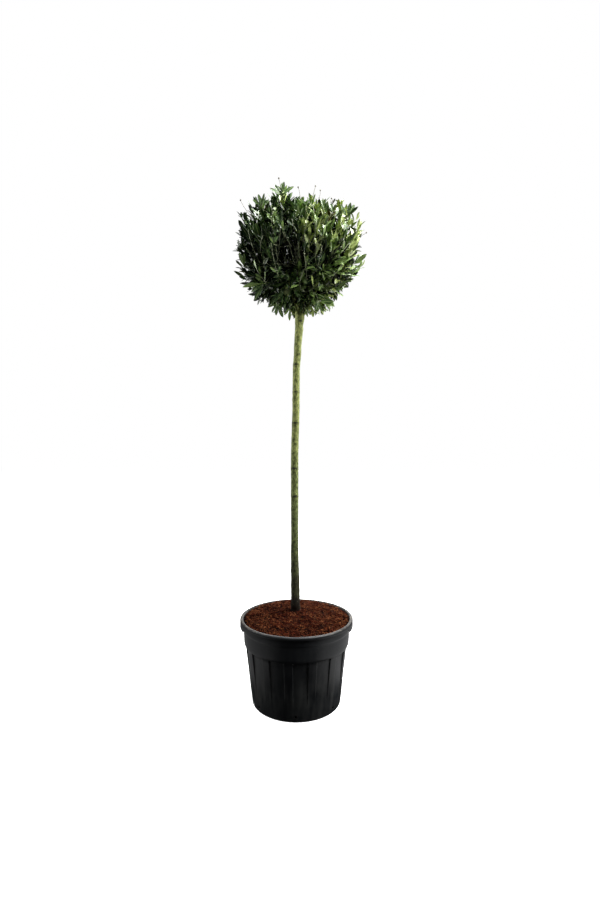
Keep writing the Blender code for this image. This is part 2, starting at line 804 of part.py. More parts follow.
def make_foliage(mass, limbs, parts):
    """A mass as one solid. Leaves that don't join soundly are drawn again."""
    name = f"foliage_{mass.name}"
    for draw in range(DRAWS):
        chance = random.Random(f"{SEED} {name} {draw}")
        mesh = joined(name, grow_mass(mass, limbs, chance), parts)
        if is_sound(mesh):
            break
    add_object(name, mesh, parts, "laurel_leaf")


def make_bough(mass, clearance, parts):
    """A bough as a tapering limb, cut to GAP off the stem's bark."""
    tube = tapered_tube("tube", mass.bough, parts, BOUGH_SIDES)
    bough = add_object(f"bough_{mass.name}", realised(tube), parts, "green_bark")
    cut = bough.modifiers.new("clear of the stem", "BOOLEAN")
    cut.operation = "DIFFERENCE"
    cut.object = clearance
    cut.solver = "EXACT"


def make_crown(parts, cutters):
    """The boughs and the masses of foliage."""
    tube = tapered_tube("tube", trunk_line(GAP), cutters, STEM_SIDES)
    clearance = as_cutter(add_object("stem_clearance", realised(tube), cutters))
    masses = make_masses()
    limbs = [trunk_line(0.0), *(mass.bough for mass in masses)]
    for mass in masses:
        make_bough(mass, clearance, parts)
        make_foliage(mass, limbs, parts)


def main():
    clear_scene()
    parts = new_collection("potted_cherry_laurel")
    cutters = new_collection("cutters")
    make_pot(parts, cutters)
    make_medium(parts)
    trunk = tapered_tube("trunk", trunk_line(0.0), parts, STEM_SIDES)
    trunk.data.materials.append(finish("green_bark"))
    make_crown(parts, cutters)


main()
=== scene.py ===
# %% [markdown]
# # A cherry laurel grown as a ball on a clear stem, in a nursery pot
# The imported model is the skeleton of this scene: a pot, its growing medium, a trunk, fifteen boughs
# and fifteen masses of foliage, all in metres, with +Z up and the front towards -Y. The camera, the
# light and every finer piece are built around it here. The masses are only stand-ins, so the same
# rule that placed them grows real twigs and leaves in their stead.
# %% Load the frame
import json
import math
import random
from functools import partial

import bmesh
import bpy
import numpy as np
from mathutils import Matrix, Vector, noise

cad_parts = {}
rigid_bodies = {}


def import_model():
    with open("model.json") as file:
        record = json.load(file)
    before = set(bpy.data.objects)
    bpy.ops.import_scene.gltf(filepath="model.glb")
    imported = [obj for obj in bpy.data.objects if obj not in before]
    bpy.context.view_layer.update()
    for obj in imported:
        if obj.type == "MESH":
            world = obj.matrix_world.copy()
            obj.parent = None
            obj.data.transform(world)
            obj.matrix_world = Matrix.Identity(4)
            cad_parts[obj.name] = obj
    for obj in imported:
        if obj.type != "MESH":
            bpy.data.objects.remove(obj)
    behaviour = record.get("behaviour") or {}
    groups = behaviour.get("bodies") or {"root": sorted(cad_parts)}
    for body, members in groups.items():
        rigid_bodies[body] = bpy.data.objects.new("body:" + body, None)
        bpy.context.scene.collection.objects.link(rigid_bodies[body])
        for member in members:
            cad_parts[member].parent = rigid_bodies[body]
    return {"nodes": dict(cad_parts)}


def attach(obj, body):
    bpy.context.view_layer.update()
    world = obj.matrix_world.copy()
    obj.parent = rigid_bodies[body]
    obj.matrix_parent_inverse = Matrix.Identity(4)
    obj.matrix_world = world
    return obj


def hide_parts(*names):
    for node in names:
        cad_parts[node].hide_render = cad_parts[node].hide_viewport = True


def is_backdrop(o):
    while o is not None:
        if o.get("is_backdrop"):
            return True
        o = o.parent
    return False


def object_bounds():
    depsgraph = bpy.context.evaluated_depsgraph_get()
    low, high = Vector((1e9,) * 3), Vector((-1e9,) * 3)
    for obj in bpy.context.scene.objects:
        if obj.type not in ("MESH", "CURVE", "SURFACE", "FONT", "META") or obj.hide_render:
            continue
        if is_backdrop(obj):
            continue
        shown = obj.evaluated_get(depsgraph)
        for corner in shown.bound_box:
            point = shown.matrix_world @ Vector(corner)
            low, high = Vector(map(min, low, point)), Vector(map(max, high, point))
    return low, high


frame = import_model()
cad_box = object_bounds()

FOLIAGE = sorted(name for name in frame["nodes"] if name.startswith("foliage_"))
BOUGHS = sorted(name for name in frame["nodes"] if name.startswith("bough_"))
print("CAD box", [tuple(round(value, 3) for value in corner) for corner in cad_box])
print("masses of foliage", len(FOLIAGE), "boughs", len(BOUGHS))

# %% [markdown]
# ## The camera
# The rim, the foot of the pot and the stem fix the viewpoint: a level camera at 0.93 m, 1.79 m in
# front of the pot's middle. A pot 42 cm wide that fills 19% of the frame's width at that distance
# needs a wide lens of 19 mm on a frame 36 mm tall. There is no shift, and nothing is out of focus.
# %% Camera
CAMERA_PLACE = (0.013, -1.788, 0.929)
FRAME_HEIGHT_MM = 36.0
LENS_MM = 19.1


def new_object(name, data):
    """An object that holds this data, linked to the scene."""
    made = bpy.data.objects.new(name, data)
    bpy.context.scene.collection.objects.link(made)
    return made


optics = bpy.data.cameras.new("camera")
optics.sensor_fit = "VERTICAL"
optics.sensor_height = FRAME_HEIGHT_MM
optics.lens = LENS_MM
camera = new_object("camera", optics)
camera.location = CAMERA_PLACE
camera.rotation_euler = (math.radians(90.0), 0.0, 0.0)
bpy.context.scene.camera = camera
print("camera field, degrees", round(math.degrees(optics.angle_y), 1))


# %% [markdown]
# ## Colour and nodes
# Colours are written as the sRGB hex values that a colour picker shows, and one function turns them
# to the linear values that the shaders add up. One more function adds a shader node: it is given
# the kind, the values or links in the order of the table, and the settings, and it hands back the
# output that the next node needs, so that each material below reads as a short recipe.
# %% Colour and node helpers
# The inputs of each kind of node in the order in which they are given below, by name or by number
INPUTS = {
    "TexNoise": ("Vector", "Scale", "Detail", "Roughness"),
    "TexVoronoi": ("Vector", "Scale"),
    "Mapping": ("Vector", "Scale"),
    "MapRange": ("Value", "From Min", "From Max", "To Min", "To Max"),
    "Bump": ("Height", "Strength", "Distance", "Normal"),
    "Mix": (0, 6, 7),
}
# A Mix node blends numbers unless it is told to blend colours, and then its output is the third
COLOUR = {"data_type": "RGBA", "output": 2}


def linear(hex_colour):
    """An sRGB hex colour as linear red, green, blue and alpha."""
    channels = [int(hex_colour[place : place + 2], 16) / 255 for place in (1, 3, 5)]
    curved = [c / 12.92 if c <= 0.04045 else ((c + 0.055) / 1.055) ** 2.4 for c in channels]
    return (*curved, 1.0)


def fill(node, inputs):
    """Gives each input of a node a plain value, or a link from another node's output."""
    for key, value in inputs.items():
        if isinstance(value, bpy.types.NodeSocket):
            node.id_data.links.new(value, node.inputs[key])
        else:
            node.inputs[key].default_value = value


def add_node(tree, kind, *values, output=0, ramp=(), **settings):
    """Adds a node with its settings, values and links, and returns one of its outputs."""
    made = tree.nodes.new(f"ShaderNode{kind}")
    for name, value in settings.items():
        setattr(made, name, value)
    fill(made, dict(zip(INPUTS.get(kind, range(3)), values)))
    for index, (place, colour) in enumerate(ramp):
        stops = made.color_ramp.elements
        stop = stops[index] if index < len(stops) else stops.new(place)
        stop.position, stop.color = place, colour
    return made.outputs[output]


def new_material(name, **sockets):
    """A material, its shader with these plain values, its own add_node, and its Object coordinates."""
    made = bpy.data.materials.new(name)
    made.use_nodes = True
    shader = made.node_tree.nodes["Principled BSDF"]
    fill(shader, {key.replace("_", " "): value for key, value in sockets.items()})
    node = partial(add_node, made.node_tree)
    return made, shader, node, node("TexCoord", output="Object")


print("a leaf green in linear light", [round(c, 3) for c in linear("#3F5728")[:3]])

# %% [markdown]
# ## Floor and light
# The plant stands on a plain pale floor that runs out to a white surround. Both look white to the
# camera, but send the plant next to no light, so that the soft boxes alone shape it. The main light
# comes from the right, from one soft box in front and one behind, and from overhead. The left one
# is weaker, and faint ones stand behind, high in front and low behind, under the crown. The camera
# looks down on the pot, so the pot's wall mirrors the ground beside it: two low soft boxes lie there
# and give the wall its gleams, while its front stays deep.
# %% Floor
FLOOR_SIDE = 40.0
FLOOR_GLOW_NEAR = 0.90
# From FLOOR_GLOW_NEAR at the first distance from the pot's middle, in m, to full at the second
FLOOR_GLOW_SPAN = (0.3, 1.5)


def mesh_of(bm, name):
    """The bmesh as a mesh, and the bmesh freed."""
    mesh = bpy.data.meshes.new(name)
    bm.to_mesh(mesh)
    bm.free()
    return mesh


bm = bmesh.new()
bmesh.ops.create_grid(bm, x_segments=1, y_segments=1, size=FLOOR_SIDE / 2)
floor = new_object("floor", mesh_of(bm, "floor"))
# Matt paint with a glow of its own, so that the eye finds no edge between floor and surround
floor_paint, shader, node, place = new_material(
    "white_studio_floor",
    Base_Color=linear("#F4F4F4"),
    Roughness=0.9,
    Emission_Color=linear("#FFFFFF"),
)
far = node("VectorMath", place, output="Value", operation="LENGTH")
fill(shader, {"Emission Strength": node("MapRange", far, *FLOOR_GLOW_SPAN, FLOOR_GLOW_NEAR)})
floor.data.materials.append(floor_paint)
floor.visible_diffuse = False
floor.visible_glossy = False
floor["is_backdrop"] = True
print("floor side, m", FLOOR_SIDE)

# %% Surround
SURROUND = 0.022

world = bpy.data.worlds.new("studio_surround")
bpy.context.scene.world = world
world.use_nodes = True
world.node_tree.nodes.clear()
node = partial(add_node, world.node_tree)
seen = node("LightPath", output="Is Camera Ray")
dim = node("Background", linear("#E9EEF2"), SURROUND)
bright = node("Background", linear("#FFFFFF"), 1.0)
sky = world.node_tree.nodes.new("ShaderNodeOutputWorld")
fill(sky, {"Surface": node("MixShader", seen, dim, bright)})
print("strength of the surround on the plant", SURROUND)

# %% Soft boxes
SOFT_BOXES = (
    # name, place, size, aimed at, watts
    ("right_soft_box", (2.30, -0.95, 2.40), (1.1, 1.2), (0.0, 0.0, 1.5), 115.0),
    ("right_back_box", (1.90, 0.90, 3.00), (1.3, 1.3), (0.0, 0.0, 1.6), 145.0),
    ("left_soft_box", (-2.30, 0.10, 1.90), (1.2, 1.4), (0.0, 0.0, 1.3), 72.0),
    ("overhead_soft_box", (0.90, 0.0, 3.50), (1.1, 1.1), (0.0, 0.0, 1.5), 250.0),
    ("back_soft_box", (0.5, 3.0, 1.8), (2.4, 1.4), (0.0, 0.0, 1.0), 6.0),
    ("front_fill", (-0.60, -2.80, 2.60), (1.4, 1.2), (0.0, 0.0, 1.6), 13.0),
    ("under_crown_box", (0.20, 1.30, 0.70), (1.2, 0.8), (0.0, 0.0, 1.6), 18.0),
    ("low_right_box", (0.55, 0.10, 0.02), (0.55, 1.10), (0.55, 0.10, 1.0), 1.5),
    ("low_left_box", (-0.55, 0.10, 0.02), (0.55, 1.10), (-0.55, 0.10, 1.0), 0.65),
)

for name, place, size, target, watts in SOFT_BOXES:
    lamp = bpy.data.lights.new(name, "AREA")
    lamp.shape = "RECTANGLE"
    lamp.size, lamp.size_y = size
    lamp.energy = watts
    box = new_object(name, lamp)
    box.location = place
    box.rotation_euler = (Vector(target) - Vector(place)).to_track_quat("-Z", "Y").to_euler()
    box.visible_camera = False
bpy.context.scene.view_settings.view_transform = "Standard"
bpy.context.scene.view_settings.look = "None"
print("soft boxes", len(SOFT_BOXES), "watts in all", sum(row[-1] for row in SOFT_BOXES))


# %% [markdown]
# ## Pieces
# Every finished piece is one mesh whose object sits at the origin and rides on the plant's only body.
# It takes its finishes as materials, and the nodes of the imported model that it stands for are hidden.
# %% Add a piece
# The nodes that the pieces of a slot stand for, where the piece doesn't say
STANDS_FOR = {"pot_plastic": ["pot"], "growing_medium": ["growing_medium"], "foliage": FOLIAGE}


def add_piece(name, mesh, slot, *finishes, stands_for=None):
    """Links a finished mesh as a piece of the plant."""
    piece = new_object(name, mesh)
    mesh.materials.clear()
    for made in finishes:
        mesh.materials.append(made)
    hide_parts(*(stands_for or STANDS_FOR[slot]))
    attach(piece, "root")
    mesh.calc_loop_triangles()
    print(name, "triangles", len(mesh.loop_triangles))


# %% [markdown]
# ## The pot's plastic
# Nursery pots of this size are moulded from recycled polypropylene, coloured black with soot. The
# skin is satin, with a fine moulded tooth, and it is never clean: a thin grey bloom of dried lime
# and dust lies on the sides, in blotches and downward streaks, thicker low down, and the rim's top
# is dull, and scuffed at the left and the right, where hands take hold of it.
# %% Black polypropylene
BLOTCH_MM = 70.0
STREAK_MM = (17.0, 17.0, 200.0)
SCRATCH_MM = 9.0
SAG_MM = 45.0
# About 0.3 mm on the real skin, which is too fine to show, so it is drawn this coarse
SKIN_TOOTH_MM = 1.2
# Heights in m over which the bloom thickens downwards, and over which the rim's top begins
BLOOM_LEVELS = (0.24, 0.10)
RIM_TOP_LEVELS = (0.3030, 0.3060)
# How far to the side, in m, the rim begins to be handled, and is handled in full
HANDLED_SPAN = (0.06, 0.16)

# Moulded polypropylene with soot in it: the eye sees a deep black with soft, slightly wavy gleams
pot_plastic, shader, node, place = new_material("black_polypropylene", IOR=1.49)
across = node("SeparateXYZ", place)
height = across.node.outputs["Z"]
blotches = node("TexNoise", place, 1000 / BLOTCH_MM, 6.0, 0.65)
streak_place = node("Mapping", place, [1000 / mm for mm in STREAK_MM])
streaks = node("TexNoise", streak_place, 1.0, 4.0)
bloom = node("MapRange", node("Math", blotches, streaks, operation="MULTIPLY"), 0.15, 0.40)
low_down = node("MapRange", height, *BLOOM_LEVELS, 0.20)
bloom = node("Math", bloom, low_down, operation="MULTIPLY")
rim_top = node("MapRange", height, *RIM_TOP_LEVELS)
handled = node("MapRange", node("Math", across, operation="ABSOLUTE"), *HANDLED_SPAN)
handled = node("Math", handled, rim_top, operation="MULTIPLY")
scuffed = node("MapRange", node("TexNoise", place, 1000 / SCRATCH_MM, 6.0), 0.42, 0.66)
scuffed = node("Math", scuffed, handled, operation="MULTIPLY")
tinted = linear("#0D0F12")
for share, over in ((bloom, "#2D2E2D"), (scuffed, "#4E4A44")):
    tinted = node("Mix", share, tinted, linear(over), **COLOUR)
dull = node("MapRange", rim_top, 0.0, 1.0, 0.50, 0.24)
dull = node("Math", handled, -0.20, dull, operation="MULTIPLY_ADD")
sheen = node("MapRange", bloom, 0.0, 1.0, 0.42, 0.62)
wavy = node("Bump", node("TexNoise", place, 1000 / SAG_MM, 1.0), 0.25, 0.002)
tooth = node("TexNoise", place, 1000 / SKIN_TOOTH_MM, 2.0)
bumped = node("Bump", tooth, 0.12, 0.0003, wavy)
fill(shader, {"Base Color": tinted, "Specular IOR Level": dull, "Roughness": sheen, "Normal": bumped})
print("tooth of the plastic's skin, mm", SKIN_TOOTH_MM)

# %% [markdown]
# ## The pot
# The pot is one closed shell of revolution: an underside that stands on its middle and its outer
# edge, a tapered body, a chamfer out to a plain collar with one faint step, and a rolled rim. It
# could be made from a cylinder, but a profile that is spun once about Z gives every ring exactly.
# Fourteen panels are then inset in the body and drawn towards the axis: deep under the collar and
# fading out downwards, which is how the real mould is able to let go of the pot. At the left and
# the right the rim is turned down further, so that fingers find a hold when the pot is lifted.
# %% Spin the pot's profile
POT_STEPS = 168
BODY_FOOT_RADIUS = 0.1637
BODY_TAPER = 0.122
BODY_SPAN = (0.016, 0.200)
BODY_RINGS = 12
PANEL_TOP = 0.2143
PANEL_FOOT = 0.034
WALL = 0.0025


def body_radius(level):
    """The outer radius of the pot's tapered body."""
    return BODY_FOOT_RADIUS + BODY_TAPER * level


def pot_profile():
    """The closed section of the shell, as radius and height: along the underside, up, down inside."""
    yield from ((0.0, 0.0), (0.030, 0.0), (0.060, 0.0), (0.064, 0.006), (0.095, 0.006), (0.126, 0.006))
    yield from ((0.130, 0.0), (0.150, 0.0), (0.1600, 0.0001), (0.1626, 0.0008), (0.1639, 0.0032))
    yield 0.1645, 0.008
    low, high = BODY_SPAN
    for step in range(BODY_RINGS):
        level = low + (high - low) * step / (BODY_RINGS - 1)
        yield body_radius(level), level
    yield from ((0.1889, 0.2060), (0.1904, 0.2095), (0.1926, PANEL_TOP), (0.1939, 0.2170), (0.1950, 0.2205))
    yield from ((0.1955, 0.2260), (0.1963, 0.2450), (0.1970, 0.2660), (0.1973, 0.2697), (0.1986, 0.2712))
    yield from ((0.1990, 0.2735), (0.1992, 0.2840), (0.1995, 0.2940), (0.1998, 0.2970), (0.2008, 0.2986))
    yield from ((0.2026, 0.2992), (0.2048, 0.2986), (0.2062, 0.2970), (0.2070, 0.2962), (0.2084, 0.2959))
    yield from ((0.2098, 0.2966), (0.2103, 0.2985), (0.2103, 0.3025), (0.2097, 0.3051), (0.2080, 0.3065))
    yield from ((0.2055, 0.3070), (0.2022, 0.3070), (0.1999, 0.3066), (0.1981, 0.3050), (0.1973, 0.3015))
    yield from ((0.1970, 0.2950), (0.1962, 0.2730), (0.1930, 0.2200), (0.1840, 0.2030))
    yield from ((body_radius(0.1) - 3 * WALL, 0.1), (BODY_FOOT_RADIUS - 2 * WALL, 0.012))
    yield from ((0.150, 0.010), (0.075, 0.010), (0.0, 0.010))


def spun(section, steps):
    """A bmesh of a section that is turned once about Z, with its seam and its poles closed."""
    bm = bmesh.new()
    points = [bm.verts.new((radius, 0.0, level)) for radius, level in section]
    edges = [bm.edges.new(pair) for pair in zip(points, points[1:])]
    bmesh.ops.spin(
        bm,
        geom=points + edges,
        axis=(0.0, 0.0, 1.0),
        angle=math.tau,
        steps=steps,
        use_merge=True,
    )
    bmesh.ops.remove_doubles(bm, verts=bm.verts, dist=0.00001)
    bmesh.ops.recalc_face_normals(bm, faces=bm.faces)
    return bm


bm = spun(pot_profile(), POT_STEPS)
print("faces of the spun shell", len(bm.faces))

# %% Sink the panels
PANELS = 14
PANEL_STEPS = 8
PANEL_DEPTH = 0.0048
PANEL_EDGE = 0.0006
PANEL_SLOPE = 0.0015
# A panel fades in from this far above its foot, and is full before its top by this factor
PANEL_FADE_START = 0.010
PANEL_FADE = 1.3
POT_TURN = math.radians(-85.4)


def clamped(value):
    """A value kept between 0 and 1."""
    return min(1.0, max(0.0, value))


def panel_depth(level):
    """How deep a panel lies: full under the collar, nothing at its foot."""
    share = (level - PANEL_FOOT - PANEL_FADE_START) / (PANEL_TOP - PANEL_FOOT)
    return PANEL_DEPTH * clamped(share * PANEL_FADE)


half_panel = PANEL_STEPS / 2 * math.tau / POT_STEPS
for panel in range(PANELS):
    middle = panel * math.tau / PANELS
    chosen = []
    for face in bm.faces:
        centre = face.calc_center_median()
        off = math.remainder(math.atan2(centre.y, centre.x) - middle, math.tau)
        outer = centre.xy.length > body_radius(centre.z) - WALL
        if abs(off) < half_panel and PANEL_FOOT < centre.z < PANEL_TOP and outer:
            chosen.append(face)
    for thickness in (PANEL_EDGE, PANEL_SLOPE):
        bmesh.ops.inset_region(bm, faces=chosen, thickness=thickness, use_even_offset=True)
    for vert in {v for face in chosen for v in face.verts}:
        outward = Vector((vert.co.x, vert.co.y, 0.0)).normalized()
        sunk = outward * (body_radius(vert.co.z) - panel_depth(vert.co.z))
        vert.co = Vector((sunk.x, sunk.y, vert.co.z))
    bmesh.ops.inset_region(bm, faces=chosen, thickness=PANEL_EDGE, use_even_offset=True)
bmesh.ops.rotate(bm, verts=bm.verts, matrix=Matrix.Rotation(POT_TURN, 3, "Z"))
print("panels", PANELS, "depth, mm", PANEL_DEPTH * 1000)

# %% Turn the rim down further at the grips
GRIP_DROP = 0.019
GRIP_HALF_WIDTH = 30.0
GRIP_SLOPE = 6.0
# The rim's turned-down edge is all that lies outside this radius and below this height
RIM_EDGE_OUTSIDE = 0.2055
RIM_EDGE_BELOW = 0.2995

for vert in bm.verts:
    if vert.co.xy.length > RIM_EDGE_OUTSIDE and vert.co.z < RIM_EDGE_BELOW:
        off_side = math.degrees(math.asin(min(1.0, abs(vert.co.y) / vert.co.xy.length)))
        vert.co.z -= GRIP_DROP * clamped((GRIP_HALF_WIDTH - off_side) / GRIP_SLOPE)
pot_mesh = mesh_of(bm, "pot_shell")
pot_mesh.shade_smooth()
print("grips reach down, mm", GRIP_DROP * 1000)

# %% [markdown]
# ### Drain holes
# Water leaves by small round holes low in the wall. They are cut with a Boolean, from one cylinder
# for each hole, and the cylinders are removed once the cut mesh is taken. The shell is rounded by
# one level of subdivision before the cut, so that the holes stay crisp.
# %% Round the edges and drill the drain holes
HOLES = 7
FIRST_HOLE = -90.6
HOLE_RADIUS = 0.0048
HOLE_HEIGHT = 0.021
DRILL_LENGTH = 0.020
DRILL_SIDES = 20
# How far the wall is from the axis at the holes, past BODY_FOOT_RADIUS
DRILL_OUT = 0.003
UP = Vector((0.0, 0.0, 1.0))

shell = new_object("pot_shell", pot_mesh)
rounding = shell.modifiers.new("rounding", "SUBSURF")
rounding.levels = rounding.render_levels = 1
drills = bpy.data.collections.new("drills")
bpy.context.scene.collection.children.link(drills)
for hole in range(HOLES):
    turn = math.radians(FIRST_HOLE) + hole * math.tau / HOLES
    outward = Vector((math.cos(turn), math.sin(turn), 0.0))
    middle = Matrix.Translation(outward * (BODY_FOOT_RADIUS + DRILL_OUT) + UP * HOLE_HEIGHT)
    bm = bmesh.new()
    bmesh.ops.create_cone(
        bm,
        cap_ends=True,
        segments=DRILL_SIDES,
        radius1=HOLE_RADIUS,
        radius2=HOLE_RADIUS,
        depth=DRILL_LENGTH,
        matrix=middle @ outward.to_track_quat("Z", "Y").to_matrix().to_4x4(),
    )
    drills.objects.link(bpy.data.objects.new(f"drill_{hole}", mesh_of(bm, "drill")))
cut = shell.modifiers.new("drain holes", "BOOLEAN")
cut.operation = "DIFFERENCE"
cut.operand_type = "COLLECTION"
cut.collection = drills
cut.solver = "MANIFOLD"


def realised(holder):
    """The evaluated mesh of an object, after which the object is removed."""
    bpy.context.view_layer.update()
    evaluated = holder.evaluated_get(bpy.context.evaluated_depsgraph_get())
    mesh = bpy.data.meshes.new_from_object(evaluated)
    bpy.data.objects.remove(holder, do_unlink=True)
    return mesh


pot_mesh = realised(shell)
for drill in list(drills.objects):
    bpy.data.objects.remove(drill, do_unlink=True)
bpy.data.collections.remove(drills)
pot_mesh.shade_smooth()
pot_mesh.set_sharp_from_angle(angle=math.radians(50.0))
add_piece("nursery_pot", pot_mesh, "pot_plastic", pot_plastic)

# %% [markdown]
# ## The growing medium
# The pot is filled to a finger's breadth below its rim with coir and shredded bark, heaped a little
# round the stem. A bumpy disc could be enough from far away, but close up the eye looks for pieces,
# so the surface is a noisy mound with chips, crumbs, shreds and fibres strewn over it. Chips and
# crumbs are each one small mesh that is copied many times into a single piece. Shreds and fibres
# are thin curved limbs.
# %% Coir and bark finishes
# Where the dark, middle and light colours lie in the noise that colours the grains
GRAIN_STOPS = (0.36, 0.50, 0.66)
# The grit in the relief is finer than the grains by this factor
GRIT_FINER = 2.5


def crumbly(name, dark, middle, light, grain_mm):
    """Damp, matt, broken plant matter whose colour changes from grain to grain."""
    made, shader, node, place = new_material(name, Roughness=0.95, IOR=1.4, Specular_IOR_Level=0.04)
    spots = node("TexNoise", place, 1000 / grain_mm, 5.0)
    shades = zip(GRAIN_STOPS, map(linear, (dark, middle, light)))
    fine = node("TexNoise", place, 1000 / grain_mm * GRIT_FINER, 4.0)
    colour = node("ValToRGB", spots, ramp=shades)
    fill(shader, {"Base Color": colour, "Normal": node("Bump", fine, 0.6, 0.0006)})
    return made


# For each kind of piece: its material, dark, middle and light colour, and a grain's width in mm
MEDIUM_LOOKS = {
    # Wet coir painted nearly black as the shade between the pieces, a painted shade, so that they stand out
    # of it
    "shade_bed": ("damp_coir_in_painted_shade", "#030100", "#080201", "#100402", 7.0),
    # Bark that was shredded and composted: nearly black where it is wet, and else red-brown
    "chips": ("shredded_bark", "#0A0201", "#150603", "#220E07", 9.0),
    "dark": ("dark_wet_bark", "#0A0201", "#130402", "#1D0904", 8.0),
    "red": ("red_brown_bark", "#1A0502", "#2E0F06", "#45200F", 8.0),
    # Coconut husk that has dried: the palest thing on the mound, in shreds and in hairs
    "golden": ("golden_coir", "#2A150C", "#4A2916", "#6A4127", 8.0),
    "fibres": ("coir_fibre", "#2B160E", "#4A2A1A", "#69432C", 6.0),
}
medium = {kind: crumbly(*looks) for kind, looks in MEDIUM_LOOKS.items()}
print("finishes of the growing medium", list(medium))

# %% The mound
MEDIUM_EDGE_RADIUS = 0.1955
MEDIUM_EDGE = 0.2965
STEM_FOOT = Vector((-0.004, 0.027, 0.316))
SEAT_RADIUS = 0.021
MOUND_STEPS = 180
MOUND_RINGS = 60
# The mound's slope would run out at this share of its radius, a little past the wall
SLOPE_REACH = 1.06
# Below its edge the filling goes on down inside the pot: radius, and height from the edge
MOUND_UNDERSIDE = ((0.190, -0.040), (0.175, -0.100), (0.0, -0.100))
# Lumps of about 26 and 9 mm and grit of 2 mm: height in m, how many to the metre, shift in X
LUMPS = ((0.0038, 38.0, 0.0), (0.0022, 110.0, 7.0), (0.0009, 420.0, 0.0))


def mound_height(x, y):
    """The growing medium's smooth height: highest round the stem, lowest at the wall."""
    off = (Vector((x, y)) - STEM_FOOT.xy).length
    edge = MEDIUM_EDGE_RADIUS * SLOPE_REACH
    share = clamped((edge - off) / (edge - SEAT_RADIUS))
    return MEDIUM_EDGE + (STEM_FOOT.z - MEDIUM_EDGE) * math.sin(share * math.pi / 2)


def lumpy_height(x, y):
    """The mound with its lumps, hollows and grit, which are half as high at the wall."""
    flat = Vector((x, y, 0.0))
    lumps = sum(high * noise.noise(flat * many + Vector((shift, 0.0, 0.0))) for high, many, shift in LUMPS)
    at_wall = max(0.0, flat.length - 0.9 * MEDIUM_EDGE_RADIUS) / (0.1 * MEDIUM_EDGE_RADIUS)
    return mound_height(x, y) + lumps * (1.0 - 0.5 * at_wall)


spoke = [(MEDIUM_EDGE_RADIUS * ring / MOUND_RINGS, 0.0) for ring in range(MOUND_RINGS + 1)]
bm = spun([*spoke, *MOUND_UNDERSIDE], MOUND_STEPS)
for vert in bm.verts:
    top = lumpy_height(vert.co.x, vert.co.y) if vert.co.z > -0.001 else MEDIUM_EDGE
    vert.co.z += top
mound = mesh_of(bm, "mound")
mound.shade_smooth()
# Painted shade: the mound is coloured nearly black, as the shade that lies between its pieces
add_piece("coir_mound", mound, "growing_medium", medium["shade_bed"])


# %% [markdown]
# ### Copying a small shape
# Adding thousands of chips or leaves to a bmesh one by one takes minutes. One template is made with
# the bmesh operators, its points are read into an array, and the array is multiplied by all the
# copies' matrices at once. A leaf also takes its own bend and cup before it is placed.
# %% Copy a template many times
def template_of(bm):
    """A small shape's points, corners, faces, material numbers and UV, read from a bmesh."""
    mesh = mesh_of(bm, "template")
    points = np.empty(len(mesh.vertices) * 3)
    mesh.vertices.foreach_get("co", points)
    corners = np.empty(len(mesh.loops), np.int32)
    mesh.loops.foreach_get("vertex_index", corners)
    starts = np.empty(len(mesh.polygons), np.int32)
    mesh.polygons.foreach_get("loop_start", starts)
    finishes = np.empty(len(mesh.polygons), np.int32)
    mesh.polygons.foreach_get("material_index", finishes)
    uv = None
    if mesh.uv_layers:
        uv = np.empty(len(mesh.loops) * 2)
        mesh.uv_layers[0].data.foreach_get("uv", uv)
    bpy.data.meshes.remove(mesh)
    return points.reshape(-1, 3), corners, starts, finishes, uv


def copies(name, template, frames, bends=None):
    """One mesh of all copies: a frame is a matrix's 3 by 4 part, and bends are pairs of bend and cup."""
    points, corners, starts, finishes, uv = template
    frames = np.array(frames)
    count = len(frames)
    local = np.repeat(points[None], count, axis=0)
    if bends is not None:
        bend, cup = np.array(bends).T[:, :, None]
        local[:, :, 1] += cup * np.abs(local[:, :, 0]) - bend * local[:, :, 2] ** 2
    placed = np.einsum("nij,npj->npi", frames[:, :, :3], local) + frames[:, None, :, 3]
    mesh = bpy.data.meshes.new(name)
    mesh.vertices.add(count * len(points))
    mesh.vertices.foreach_set("co", placed.astype(np.float32).ravel())
    shift = np.arange(count, dtype=np.int32)[:, None]
    mesh.loops.add(count * len(corners))
    mesh.loops.foreach_set("vertex_index", (corners + shift * len(points)).ravel())
    mesh.polygons.add(count * len(starts))
    mesh.polygons.foreach_set("loop_start", (starts + shift * len(corners)).ravel())
    mesh.polygons.foreach_set("material_index", np.tile(finishes, count))
    if uv is not None:
        layer = mesh.uv_layers.new(name="blade")
        layer.data.foreach_set("uv", np.tile(uv, count).astype(np.float32))
    mesh.update(calc_edges=True)
    mesh.shade_smooth()
    return mesh


# %% Strew chips and crumbs
CHIPS = 420
CRUMBS = 2600
# How far pieces tip out of level, in radians, as a spread
TIPPED = 0.35
# How much noise makes a chip's outline uneven, and a crumb's
CHIP_UNEVEN = 0.5
CRUMB_UNEVEN = 0.3
chance = random.Random("growing medium")


def spot_on_mound():
    """A random place on the mound, a little off the wall and off the stem."""
    while True:
        reach = (MEDIUM_EDGE_RADIUS - 0.003) * math.sqrt(chance.random())
        turn = chance.uniform(0.0, math.tau)
        x, y = reach * math.cos(turn), reach * math.sin(turn)
        if (Vector((x, y)) - STEM_FOOT.xy).length > SEAT_RADIUS * 0.9:
            return Vector((x, y, lumpy_height(x, y)))


def strewn(count, long_mm, wide_mm, thick_mm, sink):
    """Frames of pieces that lie nearly flat on the mound, sunk by a share of their thickness."""
    frames = []
    for _ in range(count):
        halves = [chance.uniform(*span) / 2000 for span in (long_mm, wide_mm, thick_mm)]
        turn = Matrix.Rotation(chance.uniform(0.0, math.tau), 3, "Z")
        roll, pitch = [Matrix.Rotation(chance.gauss(0.0, TIPPED), 3, axis) for axis in "XY"]
        matrix = (turn @ (roll @ pitch) @ Matrix.Diagonal(halves)).to_4x4()
        matrix.translation = spot_on_mound() + UP * (halves[2] * (1 - 2 * sink))
        frames.append([list(row) for row in matrix[:3]])
    return frames


